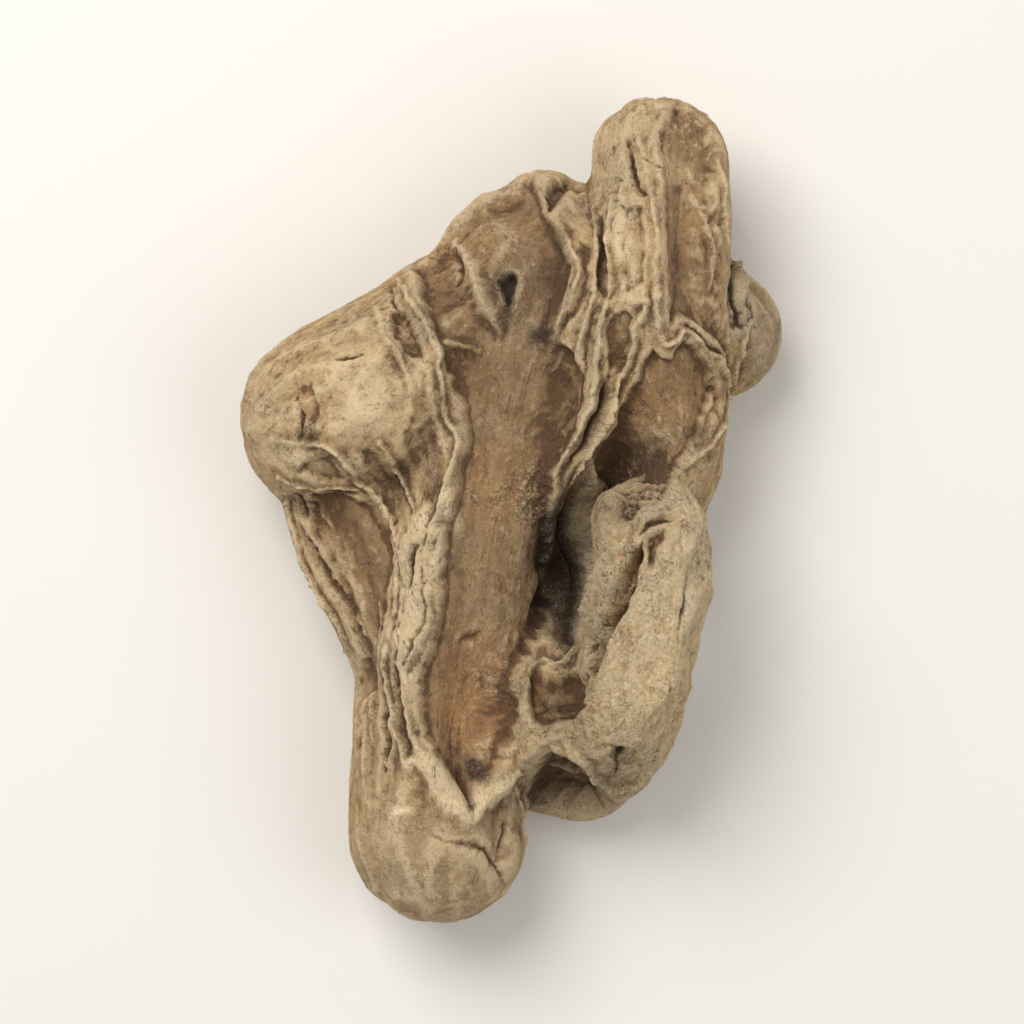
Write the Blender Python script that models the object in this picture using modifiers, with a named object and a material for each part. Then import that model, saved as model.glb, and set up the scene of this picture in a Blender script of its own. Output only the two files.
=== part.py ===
"""A dried ginger root: one rhizome with a trunk, a side lobe, a top finger, a knob and a stubby finger.

Run with: blender --background --python part.py
It lies on its flatter side. +Z is up, +Y runs along the trunk towards its top, and the origin is on the
surface that it rests on, under the middle of its bounding box. The tables are in millimetres.
"""

import math

import bmesh
import bpy
import numpy as np
from mathutils import Vector, noise
from mathutils.bvhtree import BVHTree

MM = 0.001

# Driving dimensions, in millimetres. The tables are drawn for a root of DRAWN_LENGTH.
ROOT_LENGTH = 95.0
DRAWN_LENGTH = 95.0
SCALE = MM * ROOT_LENGTH / DRAWN_LENGTH

# The middle of the finished bounding box, and the level that it rests on, in the tables' frame.
BOX_MIDDLE = (-0.372, 2.518)
REST_LEVEL = 0.0

# How finely the skin is made, and how many triangles the finished solid may have.
SKIN_VOXEL = 0.7
DRIED_VOXEL = 0.5
BEAD_STEP = 1.6
BEAD_SIDES = 28
BEAD_RINGS = 18
BLEND_PASSES = 10
SMOOTH_PASSES = 3
TRIANGLE_BUDGET = 11400

# Lobes. Each station is x, y and z of the lobe's middle, its half width and its half height.
LOBES = {
    "trunk": [
        (-9.0, -34.8, 10.1, 9.9, 10.4), (-9.2, -28.0, 10.8, 9.7, 10.2),
        (-8.3, -19.0, 11.4, 9.6, 10.2), (-6.8, -9.0, 11.6, 9.8, 10.4), (-5.2, 1.0, 11.8, 9.9, 10.6),
        (-2.8, 12.0, 12.0, 10.6, 10.8), (-0.8, 22.0, 12.2, 11.2, 10.6), (0.4, 30.0, 12.4, 9.6, 9.8),
    ],
    "side_lobe": [
        (-20.6, 13.0, 11.0, 10.6, 11.2), (-16.5, 15.8, 12.2, 10.8, 12.0),
        (-11.0, 19.5, 12.4, 9.6, 10.8), (-6.0, 24.0, 12.2, 9.0, 9.8),
    ],
    "side_web": [
        (-19.4, 7.0, 9.8, 7.6, 8.2), (-17.8, 1.0, 10.0, 7.8, 8.0), (-15.2, -6.0, 10.6, 6.8, 8.2),
        (-12.6, -13.0, 11.4, 6.0, 8.8),
    ],
    "top_finger": [
        (16.6, 42.2, 14.2, 7.6, 8.8), (16.4, 37.0, 14.8, 7.8, 10.2), (16.4, 30.0, 14.6, 7.7, 11.0),
        (16.3, 24.0, 13.6, 7.8, 11.0), (16.4, 17.0, 11.8, 7.5, 10.2), (17.0, 12.0, 11.4, 7.0, 9.4),
        (17.2, 7.4, 10.6, 6.2, 8.0), (16.6, 3.0, 9.0, 5.2, 6.2),
    ],
    "shoulder": [
        (3.5, 35.0, 12.4, 6.4, 8.6), (8.2, 28.0, 12.8, 7.4, 9.8), (8.6, 18.0, 12.4, 6.2, 10.0),
        (6.0, 8.0, 11.0, 4.8, 9.0), (4.6, 0.0, 8.8, 5.0, 6.0),
    ],
    "knob": [
        (20.5, 26.0, 8.0, 7.0, 8.0), (23.2, 23.6, 7.4, 7.2, 8.0),
    ],
    "stub_finger": [
        (1.5, -20.0, 10.4, 6.0, 8.6), (8.2, -23.4, 10.8, 7.6, 9.0), (12.0, -20.7, 15.2, 6.4, 9.0),
        (13.7, -14.5, 18.6, 6.2, 8.8), (15.1, -7.0, 20.2, 6.4, 7.8), (15.7, -1.0, 20.2, 6.2, 7.2),
        (15.0, 1.2, 19.8, 6.0, 6.6),
    ],
    "foot_of_stub": [
        (3.4, -26.4, 6.4, 5.6, 5.6), (8.4, -27.4, 7.0, 6.0, 6.2),
    ],
    "foot_of_gap": [
        (9.6, 8.6, 7.4, 4.8, 4.8), (6.6, 3.0, 6.4, 5.6, 4.8), (7.0, -5.0, 6.4, 5.4, 4.8),
        (6.4, -13.0, 7.8, 5.6, 6.4), (7.0, -18.0, 9.4, 5.6, 7.6),
    ],
}

# Panels where the bark sank between its folds, seen from above: how far the edge steps down, how wide
# that step is, how much deeper the middle is, and the outline.
PANELS = {
    "trough": (1.4, 0.8, 0.6, [
        (-8.1, 20.4), (-7.4, 18.0), (-7.2, 15.0), (-6.9, 12.6), (-6.2, 10.2), (-6.9, 7.0),
        (-7.2, 4.8), (-8.2, 2.2), (-8.9, 0.0), (-9.1, -3.0), (-9.0, -6.0), (-8.9, -9.2),
        (-9.4, -10.6), (-10.1, -13.0), (-11.1, -15.2), (-11.5, -18.0), (-11.2, -20.6),
        (-10.5, -22.8), (-9.4, -24.8), (-8.1, -26.6), (-6.7, -28.4), (-5.7, -30.2),
        (-5.0, -30.6), (-4.4, -29.8), (-2.6, -28.0), (-1.2, -26.8), (-0.5, -25.5),
        (-0.1, -23.5), (0.3, -21.0), (0.3, -18.0), (1.2, -15.6), (2.4, -13.6), (3.8, -11.5),
        (4.4, -8.0), (4.8, -3.0), (5.0, 1.0), (4.5, 4.5), (4.8, 7.0), (6.2, 10.0), (7.4, 12.6),
        (8.0, 15.0), (7.9, 18.0), (7.0, 20.2), (5.2, 21.8), (4.5, 23.6), (5.3, 26.0),
        (6.2, 28.4), (6.4, 30.6), (5.6, 32.8), (4.8, 34.8), (3.6, 36.6), (2.9, 39.0),
        (2.0, 42.5), (-6.0, 40.0), (-14.0, 34.0), (-11.6, 29.0), (-10.5, 25.6), (-9.2, 22.8),
    ]),
    "pit": (3.4, 1.5, 0.0, [
        (-3.5, 29.4), (-1.6, 30.6), (0.8, 31.0), (1.1, 28.6), (0.3, 26.0), (-0.7, 23.2),
        (-1.9, 25.4), (-2.9, 27.6),
    ]),
    "finger_valley": (1.0, 1.0, 1.0, [
        (15.6, 46.0), (16.2, 40.0), (16.5, 36.0), (16.7, 33.0), (16.6, 29.0), (16.7, 26.0),
        (16.9, 24.2), (17.3, 22.8), (18.4, 23.4), (19.8, 23.9), (21.2, 23.1), (22.4, 21.8),
        (23.5, 20.2), (24.3, 19.0), (24.6, 21.0), (24.1, 23.4), (23.7, 26.0), (23.9, 29.0),
        (23.7, 31.6), (23.1, 35.0), (22.9, 38.6), (23.4, 42.0), (22.4, 47.0), (18.4, 50.0),
    ]),
    "scale": (1.1, 0.6, 0.2, [
        (15.2, 21.0), (16.6, 20.0), (17.6, 19.9), (18.6, 21.4), (19.6, 21.9), (21.2, 20.8),
        (22.4, 19.0), (22.8, 16.5), (22.4, 13.8), (21.4, 11.4), (20.0, 8.8), (18.4, 6.4),
        (17.0, 4.0), (12.0, 4.5), (9.2, 6.0), (9.4, 8.6), (10.8, 11.6), (12.1, 14.8),
        (13.4, 17.8), (14.4, 20.0),
    ]),
    "strand_hollow_a": (0.5, 0.5, 0.0, [
        (10.6, 25.0), (12.4, 25.5), (13.4, 24.4), (12.9, 21.8), (12.0, 19.6), (10.8, 17.9),
        (10.2, 19.5), (10.1, 22.0),
    ]),
    "strand_hollow_b": (0.5, 0.5, 0.0, [
        (9.6, 26.2), (8.8, 23.8), (8.5, 21.0), (8.3, 18.0), (7.8, 15.4), (7.1, 16.0),
        (7.5, 19.0), (7.6, 22.0), (8.3, 24.8),
    ]),
    "strand_hollow_c": (0.6, 0.5, 0.0, [
        (6.9, 33.2), (8.7, 32.4), (8.6, 29.2), (8.3, 27.0), (6.9, 24.6), (5.6, 22.6),
        (5.1, 23.4), (6.3, 26.0), (7.7, 28.6),
    ]),
    "ochre_panel": (0.4, 0.8, 0.0, [
        (11.9, 37.4), (14.6, 37.0), (15.0, 33.0), (14.8, 28.0), (13.4, 26.9), (12.0, 27.4),
        (11.6, 31.0),
    ]),
    "web": (0.9, 0.6, 0.5, [
        (-23.4, 4.5), (-20.0, 4.7), (-16.8, 3.9), (-15.2, 2.2), (-14.0, 0.4), (-13.4, -2.0),
        (-13.9, -5.0), (-14.4, -8.0), (-14.8, -11.0), (-16.4, -13.0), (-17.8, -12.4),
        (-18.8, -9.6), (-20.0, -7.2), (-21.2, -4.8), (-22.4, -2.6), (-23.6, -0.6), (-24.4, 1.4),
    ]),
    "left_strip": (0.8, 0.6, 0.2, [
        (-15.0, -7.6), (-14.9, -11.0), (-15.6, -15.0), (-15.6, -18.0), (-17.0, -19.0),
        (-17.0, -24.0), (-18.0, -26.0), (-18.2, -20.0), (-17.9, -14.0), (-18.6, -10.6),
        (-18.2, -8.0),
    ]),
    "grey_hollow": (0.5, 0.9, 0.1, [
        (-24.2, 8.4), (-22.5, 9.3), (-20.8, 9.3), (-19.8, 7.6), (-18.6, 5.8), (-21.0, 5.7),
        (-23.0, 6.2), (-24.8, 6.8),
    ]),
    "side_hollow": (0.5, 0.9, 0.1, [
        (-18.2, 9.2), (-16.6, 10.0), (-15.0, 8.9), (-13.9, 7.0), (-13.0, 5.2), (-14.6, 4.4),
        (-15.9, 5.0), (-17.2, 6.6),
    ]),
    "inner_hollow": (0.4, 1.0, 0.3, [
        (-13.0, 11.6), (-12.6, 8.6), (-12.2, 6.2), (-10.8, 3.6), (-9.4, 3.2), (-8.3, 6.0),
        (-8.0, 9.0), (-8.5, 12.0), (-9.2, 15.0), (-9.6, 18.6), (-10.8, 18.8), (-11.4, 15.5),
    ]),
    "recess": (0.4, 0.6, 0.0, [
        (-24.2, 17.4), (-22.8, 17.2), (-21.8, 14.6), (-22.2, 12.2), (-24.1, 12.2), (-24.4, 14.8),
    ]),
    "gritty_valley": (0.8, 0.6, 0.1, [
        (-14.2, 25.0), (-12.2, 25.4), (-11.2, 23.2), (-10.4, 21.4), (-10.0, 19.8), (-11.6, 19.6),
        (-12.8, 20.6), (-13.8, 22.4),
    ]),
    "saddle": (1.4, 0.9, 1.4, [
        (1.4, -15.4), (3.0, -15.2), (5.0, -16.0), (6.4, -15.6), (7.8, -14.8), (8.4, -16.0),
        (8.1, -18.0), (8.5, -19.2), (7.5, -20.6), (7.0, -21.7), (5.0, -21.6), (3.2, -22.3),
        (1.7, -21.5), (1.2, -19.0), (1.2, -16.8),
    ]),
    "under_stub": (2.6, 1.2, 1.6, [
        (1.6, -26.6), (2.8, -25.0), (4.2, -24.4), (6.2, -25.2), (8.2, -27.0), (9.8, -29.0),
        (11.4, -30.2), (13.2, -29.8), (15.0, -28.2), (15.0, -33.0), (10.0, -36.0), (3.0, -35.0),
        (1.2, -31.0),
    ]),
    "stub_groove": (2.4, 0.4, 0.0, [
        (13.6, -1.2), (14.5, -2.0), (13.6, -3.4), (13.0, -6.0), (12.0, -8.4), (10.9, -10.8),
        (10.2, -12.8), (9.5, -15.0), (8.9, -17.8), (8.0, -17.4), (7.9, -15.0), (8.6, -12.8),
        (9.1, -10.8), (9.8, -8.4), (10.5, -6.0), (11.3, -3.6), (12.4, -2.4),
    ]),
    "tip_crater": (1.1, 0.6, 0.2, [
        (11.0, 4.7), (13.2, 5.0), (14.2, 3.6), (13.4, 1.7), (11.7, 1.2), (10.6, 2.6),
    ]),
    "tip_chip": (0.8, 0.5, 0.0, [(14.8, 6.2), (15.9, 6.8), (16.5, 5.1), (15.3, 3.9), (14.4, 4.5)]),
    "stub_notch": (1.0, 0.4, 0.0, [
        (14.4, -0.2), (16.9, 0.7), (16.8, -0.6), (16.0, -2.4), (15.2, -4.6), (14.9, -2.6),
    ]),
    "stub_pit": (1.0, 0.8, 0.2, [
        (10.2, -23.4), (12.0, -23.2), (12.6, -24.4), (12.0, -25.6), (11.9, -27.4), (11.0, -27.6),
        (10.9, -25.6),
    ]),
    "slit": (1.3, 0.5, 0.0, [
        (-15.5, -18.0), (-14.9, -17.8), (-14.3, -20.4), (-14.1, -23.4), (-14.5, -26.4),
        (-15.0, -23.4), (-15.5, -20.6),
    ]),
    "cleft": (1.2, 0.8, 0.0, [
        (3.4, 36.2), (4.8, 37.0), (6.2, 38.4), (7.4, 38.0), (7.9, 40.0), (6.8, 41.5), (4.4, 40.5),
        (3.0, 38.6),
    ]),
}

# Flat faces, seen from above: the height of the plane at x and y of 0, its rise along x and along y, and
# the outline that it is cut within.
FLATS = {
    "stub_face": (26.9, 0.03, 0.12, [
        (10.6, 0.0), (16.0, 2.4), (21.4, 0.6), (22.4, -4.0), (21.6, -11.0), (20.0, -18.0),
        (17.0, -24.0), (12.0, -26.0), (8.4, -23.0), (9.6, -17.0), (10.8, -10.0), (12.0, -4.0),
    ]),
}

# Broad hollows. Each is a line of stations: x and y seen from above, half width, depth.
HOLLOWS = [
    # The bowl of the trough
    [
        (0.0, 30.0, 4.0, 0.6), (-0.6, 22.0, 5.0, 1.3), (-1.0, 16.0, 6.2, 1.7),
        (-1.4, 9.0, 6.2, 1.9), (-2.4, 2.0, 6.0, 2.0), (-3.2, -5.0, 5.8, 2.0),
        (-3.9, -12.0, 5.6, 2.0), (-4.8, -18.0, 5.4, 2.4), (-5.0, -23.0, 4.2, 2.4),
        (-5.2, -27.0, 2.4, 1.8),
    ],
    # The dip of the side web, and of the left strip
    [
        (-21.0, 1.6, 3.2, 1.2), (-18.4, -2.0, 3.2, 1.4), (-17.0, -8.0, 2.0, 0.8),
        (-16.8, -16.0, 1.4, 0.4),
    ],
    # Round the pit near the top
    [(-8.2, 28.0, 3.0, 0.6), (-4.0, 33.0, 3.0, 0.4)],
    # The valley and the lower end of the scale of the top finger
    [(19.6, 38.0, 2.8, 0.8), (19.8, 31.0, 3.0, 1.2), (20.2, 25.0, 2.6, 0.9)],
    [(16.0, 11.0, 5.0, 0.3), (14.6, 7.6, 5.0, 1.0)],
    [(24.5, 30.8, 0.6, 0.6), (24.1, 27.0, 0.6, 0.7), (25.0, 24.0, 0.6, 0.4)],
    # Between the trunk and the stub finger
    [
        (9.6, 9.4, 1.6, 0.8), (7.8, 5.6, 2.0, 1.9), (7.1, 1.0, 2.5, 4.2), (7.0, -5.0, 2.6, 4.8),
        (5.8, -10.4, 2.0, 3.4),
    ],
    # The broken tip of the stub finger
    [(11.0, 2.6, 1.8, 0.7), (13.6, 4.8, 2.4, 1.1), (17.0, 4.6, 1.8, 0.6)],
    # The right face of the foot
    [(-1.6, -31.5, 1.5, 0.6), (-1.6, -36.0, 1.6, 0.7)],
]

# Raised folds of bark. Each is a line of stations: x and y seen from above, half width, height.
FOLDS = [
    # The long pale fold at the left of the trough
    [
        (-14.4, 30.6, 0.43, 0.32), (-12.2, 27.2, 0.48, 0.51), (-11.0, 25.2, 0.48, 0.7),
        (-9.6, 22.4, 0.48, 0.77), (-8.6, 20.0, 0.48, 0.77), (-8.1, 16.6, 0.43, 0.77),
        (-7.8, 13.4, 0.43, 0.77), (-6.8, 10.3, 0.48, 0.83), (-7.7, 6.6, 0.55, 0.89),
        (-8.7, 2.8, 0.61, 0.89), (-9.8, -0.6, 0.61, 0.89), (-10.0, -4.6, 0.55, 0.89),
        (-9.8, -9.4, 0.55, 0.89), (-10.8, -12.4, 0.55, 0.83), (-12.1, -15.4, 0.48, 0.77),
        (-12.5, -19.0, 0.48, 0.77), (-11.6, -22.8, 0.55, 0.77), (-9.9, -26.0, 0.86, 0.82),
        (-8.0, -28.8, 1.4, 0.85), (-5.6, -31.6, 1.3, 0.72),
    ],
    # Its companion, and the band between them
    [
        (-12.6, 0.4, 0.48, 0.58), (-13.3, -5.0, 0.48, 0.7), (-13.7, -9.6, 0.48, 0.83),
        (-14.6, -14.4, 0.48, 0.77), (-14.2, -19.0, 0.43, 0.64), (-13.2, -23.4, 0.43, 0.51),
        (-12.0, -26.4, 0.48, 0.45),
    ],
    [
        (-10.2, 2.4, 1.4, 0.45), (-11.4, -2.0, 1.9, 0.77), (-11.7, -8.0, 1.9, 0.81),
        (-12.6, -13.0, 1.5, 0.63), (-12.9, -19.0, 0.86, 0.43),
    ],
    # Across the side lobe to the trunk
    [
        (-27.4, 10.6, 0.55, 0.32), (-24.0, 10.2, 0.55, 0.51), (-21.0, 10.0, 0.48, 0.64),
        (-19.2, 8.2, 0.48, 0.83), (-17.8, 6.0, 0.48, 0.89), (-15.8, 3.9, 0.55, 0.89),
        (-14.2, 1.6, 0.55, 0.83), (-12.8, -0.6, 0.48, 0.7),
    ],
    [
        (-15.4, 10.4, 0.43, 0.38), (-13.6, 7.6, 0.43, 0.64), (-12.4, 5.4, 0.43, 0.64),
        (-11.6, 3.2, 0.43, 0.64), (-11.0, 0.8, 0.43, 0.58),
    ],
    [
        (-26.8, 6.4, 0.48, 0.45), (-23.4, 5.4, 0.43, 0.58), (-20.6, 5.2, 0.37, 0.38),
        (-17.4, 4.8, 0.37, 0.32),
    ],
    # The flange at the left edge
    [
        (-26.2, 4.6, 0.48, 0.58), (-25.4, 1.0, 0.48, 0.77), (-24.2, -2.4, 0.48, 0.83),
        (-22.6, -5.6, 0.48, 0.83), (-20.8, -8.6, 0.48, 0.7), (-19.4, -12.0, 0.43, 0.45),
        (-18.6, -16.0, 0.43, 0.32),
    ],
    [(-23.4, 3.6, 0.43, 0.38), (-22.6, 1.6, 0.43, 0.38), (-21.4, -0.6, 0.37, 0.26)],
    [
        (-15.9, -7.6, 0.36, 0.32), (-16.0, -12.0, 0.36, 0.45), (-16.1, -17.0, 0.37, 0.38),
        (-16.2, -20.0, 0.37, 0.45), (-16.2, -23.6, 0.37, 0.26),
    ],
    # Round the pit near the top
    [
        (-7.8, 33.6, 0.8, 0.8), (-6.4, 31.6, 0.9, 1.2), (-5.2, 29.2, 0.95, 1.5),
        (-3.9, 26.6, 0.95, 1.5), (-2.9, 24.6, 0.85, 1.1), (-2.2, 23.2, 0.6, 0.5),
    ],
    [(-9.2, 22.6, 0.47, 0.52), (-7.0, 21.8, 0.47, 0.6), (-4.8, 20.9, 0.39, 0.34)],
    [
        (-15.6, 25.6, 0.48, 0.38), (-14.6, 22.2, 0.48, 0.51), (-12.6, 19.2, 0.48, 0.51),
        (-11.6, 16.0, 0.43, 0.32),
    ],
    # The four strands between the trough and the top finger
    [
        (5.2, 34.8, 0.37, 0.45), (6.3, 32.4, 0.37, 0.64), (7.2, 29.6, 0.43, 0.7),
        (6.0, 26.4, 0.37, 0.64), (4.8, 23.6, 0.37, 0.58), (4.6, 21.0, 0.37, 0.32),
    ],
    [
        (9.0, 36.4, 0.37, 0.45), (9.1, 32.6, 0.37, 0.58), (9.1, 28.4, 0.37, 0.64),
        (8.2, 25.0, 0.37, 0.64), (7.2, 21.8, 0.37, 0.58), (6.9, 18.0, 0.37, 0.51),
        (6.6, 14.8, 0.37, 0.26),
    ],
    [
        (11.2, 38.0, 0.43, 0.45), (10.9, 33.0, 0.43, 0.58), (10.7, 27.8, 0.43, 0.64),
        (9.7, 24.4, 0.43, 0.77), (9.3, 20.6, 0.43, 0.83), (8.9, 16.8, 0.48, 0.89),
        (8.0, 13.4, 0.48, 0.89), (6.6, 10.4, 0.48, 0.83), (5.0, 7.4, 0.43, 0.64),
        (4.4, 4.0, 0.37, 0.38),
    ],
    [
        (14.6, 25.4, 0.48, 0.58), (13.7, 22.4, 0.48, 0.7), (12.5, 19.0, 0.48, 0.77),
        (11.1, 15.6, 0.48, 0.83), (9.9, 12.2, 0.48, 0.89), (8.5, 8.6, 0.48, 0.89),
        (7.0, 5.2, 0.48, 0.77), (5.6, 1.6, 0.43, 0.51), (4.4, -3.0, 0.37, 0.26),
    ],
    [(10.4, 26.0, 0.7, 0.26), (12.6, 26.4, 0.7, 0.34), (15.0, 25.9, 0.7, 0.34)],
    # The forked fold on the top finger and the rim of its scale
    [
        (13.8, 45.0, 0.55, 0.32), (15.0, 40.0, 0.45, 0.45), (15.7, 36.0, 0.42, 0.6),
        (15.9, 31.0, 0.42, 0.65), (15.9, 26.6, 0.44, 0.75), (16.3, 23.0, 0.48, 0.83),
        (17.1, 21.0, 0.48, 0.83), (18.4, 22.3, 0.43, 0.77), (19.5, 22.8, 0.43, 0.77),
        (21.4, 21.4, 0.43, 0.7), (23.0, 19.4, 0.43, 0.7), (23.7, 16.6, 0.43, 0.77),
        (23.6, 13.6, 0.43, 0.77), (22.6, 11.2, 0.43, 0.7), (21.0, 9.2, 0.43, 0.58),
        (19.4, 7.4, 0.43, 0.38),
    ],
    [
        (21.2, 38.6, 0.37, 0.32), (22.2, 35.4, 0.37, 0.51), (22.9, 31.6, 0.37, 0.58),
        (22.9, 27.6, 0.37, 0.38),
    ],
    [
        (23.0, 42.4, 0.43, 0.4), (23.2, 38.8, 0.45, 0.6), (23.3, 35.2, 0.45, 0.7),
        (23.7, 32.8, 0.43, 0.6),
    ],
    [(25.4, 31.0, 0.6, 0.9), (25.7, 29.0, 0.75, 1.3), (25.7, 27.0, 0.8, 1.4), (26.2, 25.0, 0.65, 0.9)],
    [
        (27.2, 24.2, 0.43, 0.32), (26.2, 21.6, 0.48, 0.51), (25.2, 19.0, 0.48, 0.58),
        (24.8, 17.4, 0.43, 0.32),
    ],
    # From the foot of the trough round the foot of the stub finger
    [
        (-4.8, -31.8, 0.94, 0.6), (-2.2, -29.4, 1.3, 0.85), (0.0, -27.1, 0.86, 0.89),
        (1.8, -24.9, 0.7, 0.89), (3.8, -23.3, 0.55, 0.95), (5.8, -23.4, 0.55, 0.95),
        (7.6, -25.2, 0.55, 0.95), (9.4, -27.6, 0.48, 0.95), (11.2, -29.0, 0.43, 0.83),
        (13.2, -28.4, 0.43, 0.7), (15.0, -26.8, 0.43, 0.38),
    ],
    # The left edge of the stub finger and the saddle
    [
        (13.2, -1.4, 0.5, 0.6), (11.6, -1.8, 0.6, 0.9), (10.3, -3.6, 0.7, 1.1),
        (9.5, -6.0, 0.7, 1.2), (8.8, -8.4, 0.7, 1.2), (8.0, -10.8, 0.7, 1.2),
        (7.2, -12.6, 0.65, 1.1), (5.9, -14.4, 0.6, 1.0), (4.8, -15.0, 0.5, 0.9),
        (3.2, -14.6, 0.45, 0.7), (1.7, -16.2, 0.42, 0.7), (0.9, -19.0, 0.42, 0.6),
        (1.0, -22.4, 0.42, 0.6), (1.4, -24.6, 0.5, 0.5),
    ],
    [
        (9.0, -16.4, 0.43, 0.58), (8.6, -18.2, 0.43, 0.58), (8.2, -21.4, 0.48, 0.51),
        (8.8, -23.6, 0.48, 0.38),
    ],
    [
        (13.2, -0.6, 0.43, 0.45), (14.8, 1.4, 0.48, 0.58), (17.0, 2.2, 0.48, 0.58),
        (19.4, 1.4, 0.48, 0.58), (21.2, -1.0, 0.48, 0.45),
    ],
    [(15.2, 6.4, 0.55, 0.32), (17.0, 6.4, 0.55, 0.38), (18.6, 4.8, 0.48, 0.32)],
    [(9.8, 3.0, 0.37, 0.38), (11.0, 4.9, 0.37, 0.38), (12.8, 5.9, 0.37, 0.26)],
    # The right rim of the foot
    [
        (-0.4, -28.0, 0.48, 0.32), (0.2, -31.0, 0.48, 0.51), (0.5, -34.0, 0.48, 0.51),
        (0.8, -37.0, 0.48, 0.32),
    ],
]

# Narrow grooves and cracks, drawn the same way.
GROOVES = [
    [
        (-24.6, 0.8, 0.6, 0.5), (-22.9, -2.6, 0.7, 1.0), (-21.2, -5.0, 0.7, 1.1),
        (-19.4, -8.2, 0.6, 0.9), (-17.7, -13.4, 0.5, 0.6),
    ],
    [(-10.7, -0.9, 0.4, 0.4), (-11.5, -3.0, 0.5, 0.9), (-11.6, -5.8, 0.4, 0.5)],
    [
        (-13.2, -13.4, 0.4, 0.5), (-13.4, -16.6, 0.5, 0.8), (-13.0, -20.6, 0.5, 0.8),
        (-12.0, -24.4, 0.5, 0.8),
    ],
    [
        (10.7, 17.8, 0.4, 0.6), (9.9, 14.8, 0.55, 1.2), (8.9, 12.0, 0.6, 1.4), (7.6, 9.6, 0.6, 1.3),
        (6.2, 7.6, 0.55, 1.0), (5.2, 5.4, 0.5, 0.6),
    ],
    [(9.9, 35.4, 0.4, 0.7), (9.9, 31.0, 0.4, 0.8), (9.9, 27.6, 0.4, 0.7), (10.6, 26.8, 0.4, 0.4)],
    [(22.4, 18.6, 0.5, 0.5), (22.7, 15.6, 0.5, 0.8), (22.0, 12.8, 0.5, 0.8), (20.6, 9.8, 0.5, 0.6)],
    [
        (-6.4, -34.9, 0.3, 0.2), (-4.6, -35.3, 0.4, 0.4), (-2.8, -36.6, 0.4, 0.6),
        (-1.8, -38.8, 0.4, 0.4),
    ],
    [
        (-5.4, -12.6, 0.5, 0.2), (-4.0, -11.9, 0.5, 0.4), (-2.6, -11.9, 0.5, 0.4),
        (-1.4, -11.5, 0.5, 0.2),
    ],
    [(-4.9, -27.4, 0.7, 0.6), (-5.0, -29.2, 0.7, 1.0), (-5.2, -30.6, 0.6, 0.8)],
    [(12.8, 44.0, 0.4, 0.6), (13.2, 40.4, 0.4, 0.6), (14.4, 38.4, 0.4, 0.4)],
    [(9.6, -9.6, 0.5, 0.6), (8.6, -12.2, 0.5, 0.9), (8.2, -14.4, 0.5, 0.7)],
    [(-24.9, 4.0, 0.6, 0.8), (-24.3, 2.6, 0.6, 0.7)],
    [(-8.2, 32.8, 0.4, 0.6), (-7.1, 31.0, 0.4, 0.7), (-7.0, 29.8, 0.4, 0.4)],
]

# The side that it rests on, drawn the same way but laid on from below.
UNDER_HOLLOWS = [
    [(-5.0, -24.0, 3.0, 1.0), (-3.4, -10.0, 4.2, 2.0), (-2.0, 4.0, 4.4, 2.0), (2.0, 14.0, 3.2, 1.2)],
    [(10.4, 36.0, 2.2, 1.6), (9.4, 27.0, 2.8, 1.9), (7.6, 18.0, 2.4, 1.2)],
    [(-15.0, 26.0, 2.4, 1.2), (-10.6, 22.0, 2.6, 1.6), (-7.4, 16.0, 2.2, 1.0)],
    [(13.6, -14.0, 2.2, 1.2), (15.0, -5.0, 2.6, 1.4), (15.2, 0.0, 1.8, 0.8)],
]
UNDER_FOLDS = [
    [
        (-9.0, -41.0, 0.8, 0.5), (-10.4, -30.0, 0.9, 0.9), (-10.8, -18.0, 0.9, 1.1),
        (-9.4, -6.0, 0.9, 1.2), (-9.0, 8.0, 0.9, 0.7),
    ],
    [
        (-1.2, -34.0, 0.8, 0.5), (-0.6, -22.0, 0.9, 1.0), (1.8, -8.0, 0.9, 1.1),
        (4.2, 6.0, 0.9, 1.1), (6.4, 18.0, 0.9, 0.7),
    ],
    [(-24.0, 8.0, 0.8, 0.6), (-19.6, 2.0, 0.9, 1.0), (-15.4, -7.0, 0.9, 1.0), (-14.4, -16.0, 0.8, 0.6)],
    [(-26.0, 16.0, 0.8, 0.6), (-18.0, 20.0, 0.9, 0.9), (-9.0, 28.0, 0.9, 0.9), (-2.0, 36.0, 0.8, 0.6)],
    [(14.0, 46.0, 0.8, 0.6), (13.2, 36.0, 0.9, 1.0), (14.0, 26.0, 0.9, 1.0), (13.2, 16.0, 0.8, 0.7)],
    [(20.4, 44.0, 0.8, 0.5), (20.8, 34.0, 0.9, 0.9), (19.6, 30.0, 0.8, 0.7)],
    [(9.0, -28.0, 0.8, 0.6), (10.8, -18.0, 0.8, 0.9), (11.2, -8.0, 0.8, 0.8), (12.4, 2.0, 0.7, 0.5)],
]

# How sharply each kind of line falls off to its sides: 2 is a bell, more is flat-topped, less is pointed.
HOLLOW_FALL = 2.6
FOLD_FALL = 1.5
GROOVE_FALL = 1.6

# Lengthwise wrinkles over the whole skin, slow swellings, and how ragged the drawn edges are.
WRINKLE_DEPTH = 0.55
WRINKLE_ACROSS = 4.4
WRINKLE_ALONG = 15.0
SWELL_DEPTH = 0.6
SWELL_SIZE = 9.0
BOWL_WIDTH = 3.5
FOLD_UNEVEN = 0.6
FOLD_UNEVEN_SIZE = 3.0
FLAT_EDGE = 1.5
WRINKLE_SHARPNESS = 2.2
SUNK_SMOOTHING = 0.6
FACES_UP = 0.4

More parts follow.
